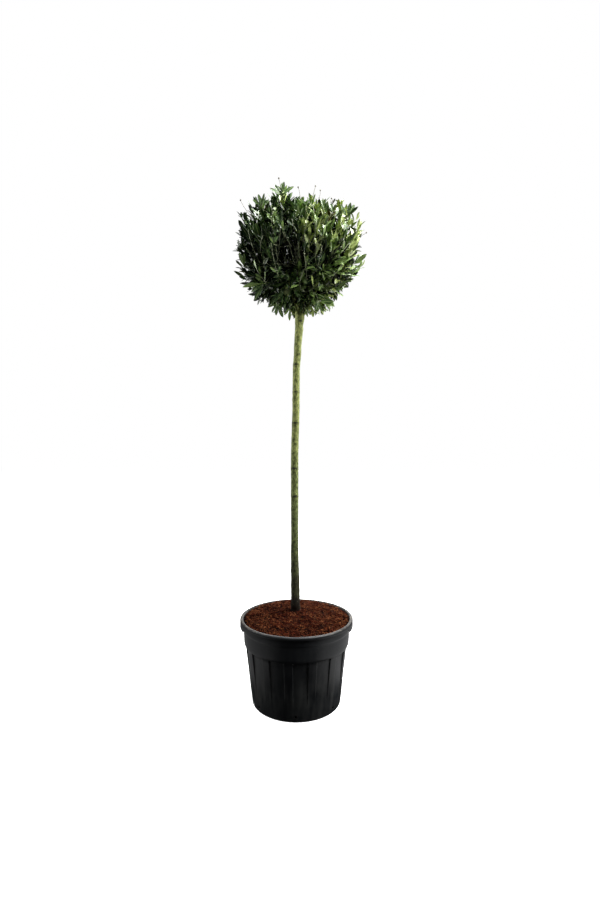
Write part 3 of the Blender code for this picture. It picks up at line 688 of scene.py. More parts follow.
def uneven_ball(subdivisions, uneven, lumps):
    """A template of a small ball that noise makes uneven."""
    bm = bmesh.new()
    bmesh.ops.create_icosphere(bm, subdivisions=subdivisions, radius=1.0)
    for vert in bm.verts:
        vert.co *= 1.0 + uneven * noise.noise(vert.co * lumps)
    return template_of(bm)


bm = bmesh.new()
bmesh.ops.create_cube(bm, size=2.0)
bmesh.ops.bevel(
    bm,
    geom=list(bm.edges),
    affect="EDGES",
    offset=0.35,
    segments=1,
    profile=0.5,
    material=-1,
)
for vert in bm.verts:
    shift = Vector((noise.noise(vert.co * 1.7), noise.noise(vert.co * 1.3 + Vector((5, 0, 0))), 0.0))
    vert.co += shift * CHIP_UNEVEN
chip = template_of(bm)
crumb = uneven_ball(1, CRUMB_UNEVEN, 2.1)
lying = strewn(CHIPS, long_mm=(4, 13), wide_mm=(2, 5), thick_mm=(1.0, 2.6), sink=0.25)
add_piece("bark_chips", copies("chips", chip, lying), "growing_medium", medium["chips"])
lying = strewn(CRUMBS, long_mm=(1.6, 4.5), wide_mm=(1.4, 4), thick_mm=(1.2, 3.2), sink=0.2)
# Painted shade: the crumbs take the same nearly black colour as the shade on the mound
add_piece("coir_crumbs", copies("crumbs", crumb, lying), "growing_medium", medium["shade_bed"])


# %% [markdown]
# ### Round limbs
# Fibres, twigs and boughs are all round and tapering, so they share one tool: a curve of straight
# pieces with a radius at each point and a round bevel, turned to a mesh with closed ends.
# %% Make limbs from lines of places and radii
def limbs_mesh(name, lines, sides):
    """One mesh of closed round limbs, each given as a list of (place, radius)."""
    curve = bpy.data.curves.new(name, "CURVE")
    curve.dimensions = "3D"
    curve.bevel_depth = 1.0
    curve.bevel_resolution = (sides - 4) // 2
    curve.use_fill_caps = True
    for line in lines:
        spline = curve.splines.new("POLY")
        spline.points.add(len(line) - 1)
        spline.points.foreach_set("co", [value for place, _ in line for value in (*place, 1.0)])
        spline.points.foreach_set("radius", [radius for _, radius in line])
    mesh = realised(new_object(name, curve))
    bm = bmesh.new()
    bm.from_mesh(mesh)
    bmesh.ops.remove_doubles(bm, verts=bm.verts, dist=0.0000005)
    bm.to_mesh(mesh)
    bm.free()
    return mesh


def bezier(start, bend, end, share):
    """A point on the quadratic curve from start to end."""
    return start.lerp(bend, share).lerp(bend.lerp(end, share), share)


# %% Strew shreds and fibres
SHREDS = 4200
FIBRES = 1300
SHRED_RADII = (0.0007, 0.0014)
FIBRE_RADII = (0.00018, 0.00040)
# The radius of a shred from end to end, as shares of its thickest
TAPER = (0.45, 0.9, 1.0, 0.9, 0.35)
# Shares of golden shreds: in the middle, and what is gained towards both sides past a share of the
# radius, which is painted light where the side lights fall, and in patches
GOLDEN = 0.10
GOLDEN_SIDES_PAINTED_LIGHT = 0.45
GOLDEN_FROM = 0.35
GOLDEN_PATCHES = 0.25


def strand(half_lengths, curl, rise, lifts):
    """Five points of a curled strand that lies on the mound, or None where it would reach the wall."""
    half_length, lift = chance.uniform(*half_lengths), chance.uniform(*lifts)
    middle = spot_on_mound() + UP * lift
    turn = chance.uniform(0.0, math.tau)
    half = Vector((math.cos(turn), math.sin(turn), 0.0)) * half_length
    side = Vector((-half.y, half.x, 0.0)) * chance.gauss(0.0, curl)
    arch = UP * abs(chance.gauss(0.0, rise))
    tilt = UP * chance.gauss(0.0, rise)
    course = (middle - half - tilt, middle + side + arch, middle + half + tilt)
    points = [bezier(*course, step / 4) for step in range(5)]
    return points if all(point.xy.length < MEDIUM_EDGE_RADIUS for point in points) else None


def shred_colour(place):
    """More golden strands towards the left and the right: a painted highlight where the side lights fall.
    """
    # Painted light: the gain towards the left and the right stands in for the side lights on the mound
    golden_share = GOLDEN + GOLDEN_SIDES_PAINTED_LIGHT * max(0.0, abs(place.x) / MEDIUM_EDGE_RADIUS - GOLDEN_FROM)
    golden_share += GOLDEN_PATCHES * noise.noise(Vector((place.x, place.y, 3.0)) * 22.0)
    return "golden" if chance.random() < golden_share else chance.choice(("dark", "red", "red"))


shred_lines = {"dark": [], "red": [], "golden": []}
for _ in range(SHREDS):
    points = strand(half_lengths=(0.005, 0.012), curl=0.8, rise=0.0022, lifts=(0.0, 0.0042))
    thick = chance.uniform(*SHRED_RADII)
    if points:
        line = [(point, thick * share) for point, share in zip(points, TAPER)]
        shred_lines[shred_colour(points[2])].append(line)
for colour, lines in shred_lines.items():
    name = f"{colour}_shreds"
    add_piece(name, limbs_mesh(name, lines, 6), "growing_medium", medium[colour])
fibre_lines = []
for _ in range(FIBRES):
    points = strand(half_lengths=(0.004, 0.012), curl=0.6, rise=0.0030, lifts=(0.002, 0.005))
    if points:
        fibre_lines.append([(point, chance.uniform(*FIBRE_RADII)) for point in points])
add_piece("coir_fibres", limbs_mesh("fibres", fibre_lines, 4), "growing_medium", medium["fibres"])

# %% [markdown]
# ## Where the plant grows
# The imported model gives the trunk, the boughs and the space of each mass of foliage by a rule: a
# stem with a height, a sideways place and a radius at each bend, an uneven ball for the crown's
# outline, and rings of masses whose boughs leave the stem one above another. The same numbers are
# written again here, so that the finer limbs start where the modelled ones are.
# %% The stem's course
# Height, place in X and radius at each bend, all in m
STEM_STATIONS = (
    (0.316, -0.0040, 0.0185),
    (0.328, -0.0040, 0.0158),
    (0.360, -0.0042, 0.0147),
    (0.560, -0.0072, 0.0128),
    (0.890, -0.0072, 0.0129),
    (1.110, -0.0022, 0.0126),
    (1.230, -0.0010, 0.0124),
    (1.310, 0.0040, 0.0130),
    (1.400, 0.0095, 0.0145),
    (1.436, 0.0120, 0.0172),
    (1.476, 0.0130, 0.0150),
    (1.520, 0.0130, 0.0120),
    (1.536, 0.0128, 0.0088),
)
STEM_BOTTOM = STEM_STATIONS[0][0]
STEM_TOP = STEM_STATIONS[-1][0]
STEM_BOW = 0.004


def eased(value, low, high):
    """0 below low, 1 above high, and smooth between."""
    share = clamped((value - low) / (high - low))
    return share * share * (3.0 - 2.0 * share)


def stem_at(level):
    """The stem's middle and radius at a height, smooth between the stations."""
    pairs = list(zip(STEM_STATIONS, STEM_STATIONS[1:]))
    (low, *start), (high, *end) = next((pair for pair in pairs if level <= pair[1][0]), pairs[-1])
    share = eased(level, low, high)
    x, radius = [first + (last - first) * share for first, last in zip(start, end)]
    bow = STEM_BOW * math.sin((level - STEM_BOTTOM) / (STEM_TOP - STEM_BOTTOM) * math.pi)
    return Vector((x, STEM_FOOT.y - bow, level)), radius


print("stem's diameter half way up, mm", round(2000 * stem_at(0.9)[1], 1))

# %% The crown's outline
CENTRE = Vector((0.0110, 0.026, 1.657))
HALF_WIDTH = 0.244
HALF_HEIGHT = 0.238
# Where the outline stands out or draws in: azimuth from the front, elevation, share, and spread in
# radians
LOBES = (
    (-70.0, 42.0, 0.14, 0.34),
    (-38.0, 64.0, 0.20, 0.20),
    (72.0, 36.0, 0.17, 0.28),
    (41.0, 64.0, -0.13, 0.17),
    (105.0, -32.0, -0.15, 0.36),
    (-116.0, -46.0, -0.10, 0.34),
    (180.0, 38.0, 0.08, 0.30),
    (150.0, 5.0, -0.05, 0.30),
    (-140.0, 20.0, 0.06, 0.25),
)


def heading(azimuth, elevation):
    """The unit vector at an azimuth from the front towards +X, and an elevation, in degrees."""
    turn, rise = math.radians(azimuth), math.radians(elevation)
    flat = math.cos(rise)
    return Vector((math.sin(turn) * flat, -math.cos(turn) * flat, math.sin(rise)))


def swollen(way, lobes):
    """The share by which lobes stretch, or dents shorten, the reach in a direction."""
    share = 1.0
    for azimuth, elevation, height, spread in lobes:
        off = way.angle(heading(azimuth, elevation))
        share += height * math.exp(-((off / spread) ** 2))
    return share


def outline_radius(way):
    """How far the crown reaches from CENTRE in a direction."""
    flat = math.hypot(way.x, way.y)
    return 1.0 / math.hypot(flat / HALF_WIDTH, way.z / HALF_HEIGHT) * swollen(way, LOBES)


print("reach to the right, mm", round(1000 * outline_radius(heading(90.0, 0.0))))

# %% The boughs
# Rings of masses: elevation about CENTRE, number, first azimuth, the height at which their boughs
# leave the stem, and where the boughs bend outwards: how far out, and how far up from there
RINGS = (
    (88.0, 1, 0.0, 1.526, 0.002, 0.060),
    (44.0, 4, 30.0, 1.504, 0.040, 0.085),
    (3.0, 5, 12.0, 1.474, 0.052, 0.078),
    (-46.0, 5, 48.0, 1.434, 0.052, 0.030),
)
# Where the heart of a mass lies, as a share of the crown's reach there
CELL_REACH = 0.62
# A bent limb is longer than the straight way from its start to its tip by this factor
BENT_LENGTH = 1.06


class Limb:
    """A curved limb that feeds one direction: from its start, by its bend, to its tip."""

    def __init__(self, way, start, bend, tip):
        self.way, self.start, self.bend, self.tip = way, start, bend, tip
        self.length = (tip - start).length * BENT_LENGTH

    def at(self, share):
        return bezier(self.start, self.bend, self.tip, share)

    def ahead(self, share):
        return (self.at(min(1.0, share + 0.02)) - self.at(share - 0.02)).normalized()

    def line(self, rings, base, tip):
        """Places and radii along the limb."""
        return [(self.at(step / rings), base + (tip - base) * step / rings) for step in range(rings + 1)]


boughs = []
for elevation, count, first, leaves_stem, out, up in RINGS:
    for index in range(count):
        azimuth = first + index * 360.0 / count
        way = heading(azimuth, elevation)
        start = stem_at(leaves_stem)[0]
        bend = start + heading(azimuth, 0.0) * out + UP * up
        boughs.append(Limb(way, start, bend, CENTRE + way * outline_radius(way) * CELL_REACH))
print("boughs", len(boughs))

# %% [markdown]
# ## Bark
# Young laurel bark is smooth and grey-green, thin enough for the green layer to show through, with
# small pale pores. Low down it turns dull brown, where it stays damp and gathers algae and dirt,
# and at the very foot it is painted nearly black, a painted shade. Where side shoots were cut away
# while the stem was trained, dark eye-shaped scars are left. The ages and the painted shade are
# mixed one over another by height, with a border that wanders, and the scars come from a value on
# the trunk's own points.
# %% Laurel bark
PATCH_MM = 6.7
WANDER_MM = 110.0
PORE_MM = 7.7
# Wrinkles of about 0.5 mm on the real stem are too fine to show, so they are drawn this coarse
GRAIN_MM = 2.6
# Patches are drawn out along the stem to nearly twice their width, and pores are wider than high
PATCH_STRETCH = (1.0, 1.0, 0.55)
PORE_STRETCH = (1.0, 1.0, 2.2)
# How far the border of an age wanders up and down, in m
AGE_WANDER = 0.30
# Older barks: dark and light colour, and the heights in m, wander included, where each begins and,
# further down, where it is in place
OLDER_BARKS = (
    ("#2D3416", "#657040", 1.30, 0.80),
    ("#0B0805", "#2A251A", 0.75, 0.545),
)
# The same two heights for the painted shade at the foot
FOOT_SHADE_LEVELS = (0.54, 0.47)

# Thin smooth bark over a living layer: the eye sees a grey-green mottling, and at the foot a
# painted shade with no shine
bark, shader, node, place = new_material("laurel_bark", IOR=1.45)
long_place = node("Mapping", place, PATCH_STRETCH)
patches = node("MapRange", node("TexNoise", long_place, 1000 / PATCH_MM, 5.0, 0.7), 0.40, 0.62)
wander = node("TexNoise", place, 1000 / WANDER_MM, 3.0)
height = node("SeparateXYZ", place, output="Z")
wandering = node("Math", wander, AGE_WANDER, height, operation="MULTIPLY_ADD")
aged = node("Mix", patches, linear("#464F1B"), linear("#98A05C"), **COLOUR)
for dark, light, above, below in OLDER_BARKS:
    older = node("Mix", patches, linear(dark), linear(light), **COLOUR)
    aged = node("Mix", node("MapRange", wandering, above, below), aged, older, **COLOUR)
pores = node("TexVoronoi", node("Mapping", place, PORE_STRETCH), 1000 / PORE_MM)
pores = node("MapRange", pores, 0.16, 0.08)
scars = node("Attribute", output="Fac", attribute_name="scar")
# Painted shade: the foot of the trunk is painted nearly black over its bark, and loses its shine
painted_foot_shade = node("MapRange", wandering, *FOOT_SHADE_LEVELS)
for share, over in ((pores, "#8B8662"), (scars, "#0D0A07"), (painted_foot_shade, "#0B0503")):
    aged = node("Mix", share, aged, linear(over), **COLOUR)
gloss = node("MapRange", painted_foot_shade, 0.0, 1.0, 0.30, 0.05)
dullness = node("MapRange", patches, 0.0, 1.0, 0.60, 0.82)
grainy = node("Bump", node("TexNoise", long_place, 1000 / GRAIN_MM, 5.0), 0.35, 0.0006)
raised = node("Bump", pores, 0.5, 0.0004, grainy)
fill(shader, {"Base Color": aged, "Specular IOR Level": gloss, "Roughness": dullness, "Normal": raised})
print("pores of the bark, mm apart", PORE_MM)

# %% [markdown]
# ## Trunk and boughs
# The trunk is a fine round limb along the stem's course, wider than the modelled one by the bark's
# thickness, and by more at its foot. Its surface is then moved point by point: long shallow ripples
# all over, more on the old damp bark, and a raised lip round each pruning scar. The boughs start
# inside it and swell where they leave it.
# %% The trunk's line
TRUNK_SIDES = 32
TRUNK_RING = 0.0040
# How far the trunk reaches down into the growing medium
TRUNK_SINK = 0.012
# The bark's own thickness, and what the foot gains on it, from no gain at FOOT_LEVELS[0] down
BARK_SWELL = 0.0011
FOOT_SWELL = 0.0012
FOOT_LEVELS = (0.62, 0.50)

levels = np.arange(STEM_BOTTOM - TRUNK_SINK, STEM_TOP, TRUNK_RING)
foot_shares = np.interp(levels, FOOT_LEVELS[::-1], (1.0, 0.0))
trunk_line = []
for level, share in zip(levels, foot_shares):
    middle, radius = stem_at(max(level, STEM_FOOT.z))
    trunk_line.append((Vector((middle.x, middle.y, level)), radius + BARK_SWELL + FOOT_SWELL * share))
wood = limbs_mesh("wood", [trunk_line], TRUNK_SIDES)
print("rings of the trunk", len(trunk_line), "points", len(wood.vertices))

# %% Ripples and scars
# Pruning scars: height, azimuth from the front, half width in mm
SCARS = (
    (1.415, 15.0, 8.0),
    (1.385, 120.0, 6.0),
    (1.291, 30.0, 4.0),
    (1.253, -10.0, 10.0),
    (1.148, 0.0, 10.0),
    (1.120, -130.0, 8.0),
    (1.031, -5.0, 11.0),
    (0.940, 130.0, 8.0),
    (0.859, -5.0, 13.0),
    (0.800, 160.0, 5.0),
    (0.754, 5.0, 12.0),
    (0.705, -150.0, 8.0),
    (0.600, 90.0, 5.0),
    (0.470, -120.0, 7.0),
)
SCAR_HALF_HEIGHT = 0.0034
# Heights in m of a scar's lip and of the pit inside it, how widely the lip spreads, and how fast the
# pit ends
SCAR_LIP = 0.0016
SCAR_PIT = 0.0017
LIP_SPREAD = 3.0
PIT_FALL = 1.6
# How dark a scar is in its middle, cut off at 1, and how fast that fades
STAIN = 1.4
STAIN_FALL = 1.1
# Ripples: height in m, how many to the metre, and the share of height gained on the oldest bark
RIPPLES = ((0.00045, 90.0, 0.0), (0.00035, 260.0, 2.0))
RIPPLE_STRETCH = 0.25
# Below this height in m the bark grows old, and this much further down it is old
OLD_BELOW = 0.65
OLD_SPAN = 0.3

scar_values = []
for vert in wood.vertices:
    middle, radius = stem_at(min(max(vert.co.z, STEM_FOOT.z), STEM_TOP))
    arm = Vector((vert.co.x - middle.x, vert.co.y - middle.y, 0.0))
    # The middles of the closed ends stay where they are
    if arm.length < 0.5 * radius:
        scar_values.append(0.0)
        continue
    azimuth = math.degrees(math.atan2(arm.x, -arm.y))
    long_point = Vector((vert.co.x, vert.co.y, vert.co.z * RIPPLE_STRETCH))
    age = clamped((OLD_BELOW - vert.co.z) / OLD_SPAN)
    relief = sum(high * (1 + gain * age) * noise.noise(long_point * many) for high, many, gain in RIPPLES)
    scarred = 0.0
    for level, facing, half in SCARS:
        rise = (vert.co.z - level) / SCAR_HALF_HEIGHT
        if abs(rise) > 5.0:
            continue
        across = math.radians(math.remainder(azimuth - facing, 360.0)) * radius / (half / 1000)
        off = rise * rise + across * across
        relief += SCAR_LIP * math.exp(-off / LIP_SPREAD) - SCAR_PIT * math.exp(-off * PIT_FALL)
        scarred = max(scarred, math.exp(-off * STAIN_FALL))
    vert.co += arm.normalized() * relief
    scar_values.append(min(1.0, scarred * STAIN))
scar = wood.attributes.new("scar", "FLOAT", "POINT")
scar.data.foreach_set("value", scar_values)
add_piece("trunk_with_bark", wood, "bark", bark, stands_for=["trunk"])
print("scars", len(SCARS))

# %% Boughs
BOUGH_SIDES = 12
BOUGH_RINGS = 24
BOUGH_RADII = (0.0050, 0.0024)
# What the collar adds to a bough's radius at its start, and how soon it fades along the bough
BOUGH_COLLAR = 0.0032
COLLAR_SHARE = 0.12

shares = np.linspace(0.0, 1.0, BOUGH_RINGS + 1)
collars = BOUGH_COLLAR * np.exp(-((shares / COLLAR_SHARE) ** 2))
bough_lines = []
for bough in boughs:
    line = bough.line(BOUGH_RINGS, *BOUGH_RADII)
    bough_lines.append([(place, radius + collar) for (place, radius), collar in zip(line, collars)])
wood = limbs_mesh("boughs", bough_lines, BOUGH_SIDES)
add_piece("boughs_with_bark", wood, "bark", bark, stands_for=BOUGHS)

# %% [markdown]
# ## Branches and shoots
# From the boughs, branches rise to about two thirds of the crown's reach, and leafy shoots fork
# from them and run out to the outline, less far in its dents and in the hollows between the tufts,
# and fewer of them at the bottom. The tips of both are spread evenly over the ball by turning
# each one on from the last by the golden angle, and moved a little by chance. In the upper half
# they rise steeply, because laurel shoots bend up to the light, and at the bottom they run
# outwards. Each one looks back along its own aim for the nearest parent, so it forks where a real
# one would. None ends in the dark window low at the front, or round the trunk.
# %% How far shoots may reach
# The window's azimuth, elevation and half width in degrees
WINDOW = (-9.5, -17.0, 15.5)
# The share of reach that is lost in the deepest hollow, how closely hollows follow, and where
HOLLOW = 0.15
HOLLOWS = 4.6
HOLLOWS_SHIFT = Vector((2.0, 5.0, 1.0))
# Where the ball is clipped closer than the masses reach, or once a little less close: azimuth,
# elevation, share, and spread in radians
DENTS = (
    (14.0, 72.0, -0.15, 0.30),
    (62.0, 58.0, -0.10, 0.20),
    (30.0, -62.0, -0.05, 0.25),
    (180.0, -58.0, -0.08, 0.60),
    (92.0, 14.0, -0.06, 0.20),
    (-75.0, 36.0, 0.04, 0.20),
    (70.0, -38.0, -0.06, 0.22),
)


def clipped_radius(way):
    """How far the leaves reach: the outline with its dents."""
    return outline_radius(way) * swollen(way, DENTS)


def hollow(way):
    """What the shoots keep of their reach in the hollows between the tufts."""
    return 1.0 - HOLLOW * eased(noise.noise(way * HOLLOWS + HOLLOWS_SHIFT), 0.0, 0.40)


def in_window(way, share=1.0):
    """Whether a direction looks into the dark window low at the front."""
    return way.angle(heading(*WINDOW[:2])) < math.radians(WINDOW[2]) * share


print("clipped reach to the right, mm", round(1000 * clipped_radius(heading(90.0, 0.0))))

# %% Twigs and their forks
# Where along a parent a twig may fork, give or take
FORK_SHARES = (0.30, 0.45, 0.60, 0.75, 0.90)
FORK_SLACK = 0.07
# How a twig's aim strays along X, Y and Z, how strongly it turns up, and how far back it bends
AIM_STRAYS = (0.20, 0.20, 0.14)
UPTURN = 1.7
BENDS_BACK = 0.55
# Nothing grows round the trunk, further than this from straight up, in radians
STEM_WAY_IN = math.radians(168.0)
GOLDEN_ANGLE = math.pi * (3.0 - math.sqrt(5.0))
chance = random.Random("shoots")


def wobble(*spreads):
    """A small random vector with a spread along each axis."""
    return Vector([chance.gauss(0.0, spread) for spread in spreads])


def nearest_fork(parents, wished):
    """The place on any parent that is nearest to a wished one."""
    slack = (-FORK_SLACK, FORK_SLACK)
    places = [parent.at(share + chance.uniform(*slack)) for parent in parents for share in FORK_SHARES]
    return min(places, key=lambda place: (place - wished).length)


def forked(way, reach, parents, wished_length):
    """A twig to a tip at reach along way, which bends out and, high in the crown, up."""
    tip = CENTRE + way * reach
    stray = wobble(*AIM_STRAYS)
    aim = (way + UP * (UPTURN * eased(way.z, -0.65, 0.05)) + stray).normalized()
    start = nearest_fork(parents, tip - aim * wished_length)
    return Limb(way, start, tip - aim * (tip - start).length * BENDS_BACK, tip)


def spread_ways(count, scatter):
    """Unit vectors spread evenly over the crown, but for its window and the stem's way in."""
    for index in range(count):
        z = 1.0 - 2.0 * (index + 0.5) / count
        flat = math.sqrt(1.0 - z * z)
        turn = index * GOLDEN_ANGLE
        way = Vector((flat * math.cos(turn), flat * math.sin(turn), z))
        way = (way + wobble(scatter, scatter, scatter)).normalized()
        if not in_window(way) and way.angle(UP) < STEM_WAY_IN:
            yield way


print("places to fork on one parent", len(FORK_SHARES))

# %% Grow branches and shoots
BRANCHES = 130
SHOOTS = 530
BRANCH_REACH = (0.58, 0.78)
BRANCH_LENGTH = 0.15
SHOOT_LENGTHS = (0.10, 0.12, 0.12, 0.16)
# How far inside the outline a shoot ends, and the share of shoots that are left out at the bottom
TIP_INSET = (0.004, 0.060)
THINNED_BELOW = 0.30
# Radii at the start and at the tip
BRANCH_RADII = (0.0026, 0.0014)
SHOOT_RADII = (0.0013, 0.0008)

branches = []
for way in spread_ways(BRANCHES, 0.06):
    reach = outline_radius(way) * chance.uniform(*BRANCH_REACH)
    branches.append(forked(way, reach, boughs, BRANCH_LENGTH))
shoots = []
for way in spread_ways(SHOOTS, 0.05):
    if chance.random() < THINNED_BELOW * eased(-way.z, 0.40, 0.70):
        continue
    reach = clipped_radius(way) * hollow(way) - chance.uniform(*TIP_INSET)
    shoots.append(forked(way, reach, branches, chance.choice(SHOOT_LENGTHS)))
twig_lines = [branch.line(9, *BRANCH_RADII) for branch in branches]
twig_lines += [shoot.line(8, *SHOOT_RADII) for shoot in shoots]
print("branches", len(branches), "shoots", len(shoots))
print("mean length of a shoot, mm", round(1000 * sum(shoot.length for shoot in shoots) / len(shoots)))

# %% [markdown]
# ### Stems that show from outside
# A few long shoots climb up the outside of the ball, and their paler bark draws fine upright lines
# on the dark leaves. The ones at the front are placed by three directions each: where the stem comes
# out of the dark, its middle, and its tip. The same habit is strewn over the back, and once more over
# the middle of the front, by the rule that spreads the shoots.
# %% Stems that show from outside
# Azimuth and elevation of each stem's three places
SHOWN_STEMS = (
    ((-23, -47), (-24, -34), (-24, -8)),
    ((12, -47), (7, -31), (4, -17)),
    ((9, -39), (17, -31), (19, -11)),
    ((17, -58), (18, -49), (16, -41)),
    ((-37, -34), (-38, -26), (-31, -19)),
    ((-28, 4), (-26, 12), (-22, 22)),
    ((-9, -9), (-12, -3), (-14, 7)),
    ((0, -7), (-4, 0), (-6, 9)),
    ((3, -5), (5, 2), (7, 11)),
    ((19, -13), (21, -2), (22, 7)),
    ((14, -6), (14, 1), (14, 9)),
    ((37, -21), (44, -9), (53, 6)),
)
SHOWN_DEPTHS = (0.76, 0.91, 0.97)
SHOWN_RADII = (0.0015, 0.0009)
SHOWN_FORK_RADIUS = 0.0016
# The strewn ones: how many ways are tried, how far each climbs in degrees, and where they are kept:
# behind this azimuth and above this elevation, or within these two of the front's middle
RISERS = 80
CLIMB = 30.0
RISERS_BEHIND = (115.0, -40.0)
RISERS_WITHIN = (50.0, 36.0)

risers = [list(places) for places in SHOWN_STEMS]
for way in spread_ways(RISERS, 0.05):
    azimuth, elevation = math.degrees(math.atan2(way.x, -way.y)), math.degrees(math.asin(way.z))
    behind = abs(azimuth) > RISERS_BEHIND[0] and elevation > RISERS_BEHIND[1]
    in_front = abs(azimuth) < RISERS_WITHIN[0] and abs(elevation) < RISERS_WITHIN[1]
    if behind or in_front:
        start = (azimuth + chance.uniform(-14.0, 14.0), elevation - CLIMB)
        middle = (azimuth + chance.uniform(-8.0, 8.0), elevation - CLIMB / 2)
        if not in_window(heading(*start)) and not in_window(heading(*middle)):
            risers.append([start, middle, (azimuth, elevation)])
shown = []
for places in risers:
    ways = [heading(*place) for place in places]
    points = [CENTRE + way * outline_radius(way) * depth for way, depth in zip(ways, SHOWN_DEPTHS)]
    bend = points[1] * 2 - (points[0] + points[2]) / 2
    stem = Limb(ways[2], points[0], bend, points[2])
    fork = nearest_fork(branches, points[0])
    shown.append(stem)
    inner = [(fork, SHOWN_FORK_RADIUS), (fork.lerp(points[0], 0.5), SHOWN_FORK_RADIUS)]
    twig_lines.append(inner + stem.line(8, *SHOWN_RADII))
print("stems that show", len(shown))

# %% [markdown]
# ### Sprays of large end leaves
# The strongest shoots end in a small fan of larger leaves, and the eye reads the ball's edge and its
# light patches by them. So the ones at the front are placed one by one, each with the turn and the
# length of its leaves. The back has the same habit: the sprays near the middle, but for the hanging
# ones, are grown there once more.
# %% Sprays of large end leaves
# Azimuth and elevation of a spray's foot, its depth as a share of the clipped reach, and its leaves:
# the turn of each as seen from the front, 0 to the right and 90 up, and its length in mm
SPRAYS = (
    (-19, 36, 0.98, ((44, 56), (78, 50), (120, 48), (141, 47))),
    (-37, 27, 0.98, ((106, 48), (136, 45), (78, 45), (48, 31))),
    (47, 20, 0.98, ((76, 51), (61, 54), (32, 49), (119, 45))),
    (58, -17, 0.98, ((55, 52), (37, 57), (22, 34), (-32, 25))),
    (-42, -38, 0.96, ((147, 39), (-169, 79), (-154, 54), (-125, 68))),
    (-67, -29, 0.96, ((143, 62), (156, 36))),
    (-45, -60, 0.96, ((-95, 45), (-162, 38), (-66, 52), (-127, 36))),
    (40, -60, 0.96, ((0, 56), (-15, 52), (-79, 24), (-108, 36))),
    (52, -44, 0.96, ((-33, 36), (36, 55), (17, 24))),
    (-62, -18, 0.97, ((109, 55), (88, 47), (148, 34))),
    (6, 21, 0.98, ((72, 32), (42, 23), (122, 24))),
    (22, 17, 0.98, ((104, 47), (74, 33))),
    (30, 18, 0.98, ((129, 33), (77, 31), (103, 44))),
    (32, 15, 0.98, ((69, 38), (40, 26))),
    (-21, -10, 0.99, ((86, 44), (61, 31), (117, 30))),
    (-13, -2, 0.99, ((97, 40), (63, 26))),
    (19, -5, 0.99, ((75, 38), (114, 29))),
    (21, 4, 0.99, ((79, 34), (45, 28))),
    (19, -26, 0.99, ((69, 42),)),
    (-22, -32, 0.99, ((139, 31), (63, 30))),
    (-23, 9, 0.99, ((65, 39), (119, 31))),
    (0, 10, 0.99, ((100, 37), (63, 30))),
    (-25, -69, 0.95, ((-94, 47), (-127, 36))),
    (17, -72, 0.95, ((-72, 35), (-40, 29))),
)
# The sprays within this azimuth and above this elevation are grown at the back too
BACK_WITHIN = 48
BACK_ABOVE = -30
# How far inside its foot a spray's twig forks, and where it bends
SPRAY_FORK = 0.07
SPRAY_BEND = 0.03
SPRAY_RADII = (0.0016, 0.0011)

fans = []
for azimuth, elevation, depth, ends in SPRAYS:
    twice = abs(azimuth) < BACK_WITHIN and elevation > BACK_ABOVE
    for turned in (0.0, 180.0) if twice else (0.0,):
        way = heading(azimuth + turned, elevation)
        root = CENTRE + way * clipped_radius(way) * depth
        fork = nearest_fork(branches, root - way * SPRAY_FORK)
        fans.append((way, root, ends))
        twig_lines.append(Limb(way, fork, root - way * SPRAY_BEND, root).line(8, *SPRAY_RADII))
print("sprays of large leaves", len(fans))

# %% [markdown]
# ### Young shoot bark
# All the branches, shoots and stems above become one mesh of thin round limbs. Their bark is this
# year's and last year's: a pale grey-green, darker in patches, with a faint wrinkle.
# %% Young shoot bark
TWIG_PATCH_MM = 22.0
# Wrinkles of about 0.3 mm on a real shoot are too fine to show, so they are drawn this coarse
TWIG_GRAIN_MM = 1.4
TWIG_SIDES = 6

# Bark of a season or two, silky and pale: the eye finds it as thin light lines between dark leaves
twig_bark, shader, node, place = new_material("green_shoot_bark", IOR=1.45, Roughness=0.55)
spots = node("MapRange", node("TexNoise", place, 1000 / TWIG_PATCH_MM, 5.0), 0.36, 0.60)
colour = node("Mix", spots, linear("#555C3B"), linear("#9AA17F"), **COLOUR)
fine = node("TexNoise", place, 1000 / TWIG_GRAIN_MM, 3.0)
fill(shader, {"Base Color": colour, "Normal": node("Bump", fine, 0.3, 0.0003)})
add_piece("twigs", limbs_mesh("twigs", twig_lines, TWIG_SIDES), "foliage", twig_bark)

# %% [markdown]
# ## Leaves
# A cherry laurel leaf is a thick leathery blade, three or four times as long as it is wide, glossy
# and dark above, paler and matt below, with a pale midrib that lies in a groove. One template
# serves them all: a sphere with four meridians has two edges, a ridge above and a ridge below,
# which is just the lens that a blade is, so its rings are only given a leaf's widths.
# %% The blade
# Place along the blade, half width and half thickness of each ring, as shares of the length, of half
# the width and of the width
BLADE = (
    (0.00, 0.00, 0.00),
    (0.12, 0.10, 0.040),
    (0.32, 0.58, 0.030),
    (0.56, 0.98, 0.026),
    (0.75, 0.90, 0.022),
    (0.91, 0.50, 0.018),
    (1.00, 0.00, 0.00),
)
bm = bmesh.new()
bmesh.ops.create_uvsphere(bm, u_segments=4, v_segments=len(BLADE) - 1, radius=1.0)
layer = bm.loops.layers.uv.new("blade")
for vert in bm.verts:
    ring = round((1.0 - math.acos(max(-1.0, min(1.0, vert.co.z))) / math.pi) * (len(BLADE) - 1))
    along, wide, thick = BLADE[ring]
    at_end = ring in (0, len(BLADE) - 1)
    side, face = (0, 0) if at_end else (round(part) for part in vert.co.xy.normalized())
    vert.co = (side * wide, face * thick, along)
for face in bm.faces:
    face.material_index = 0 if face.calc_center_median().y > 0.0 else 1
    for loop in face.loops:
        across = (loop.vert.co.x > 0.01) - (loop.vert.co.x < -0.01)
        loop[layer].uv = (0.5 + 0.5 * across, loop.vert.co.z)
bmesh.ops.recalc_face_normals(bm, faces=bm.faces)
# A leaf's frame mirrors the blade, and that turns its faces outwards again
bmesh.ops.reverse_faces(bm, faces=bm.faces)
print("faces of one blade", len(bm.faces))
blade = template_of(bm)
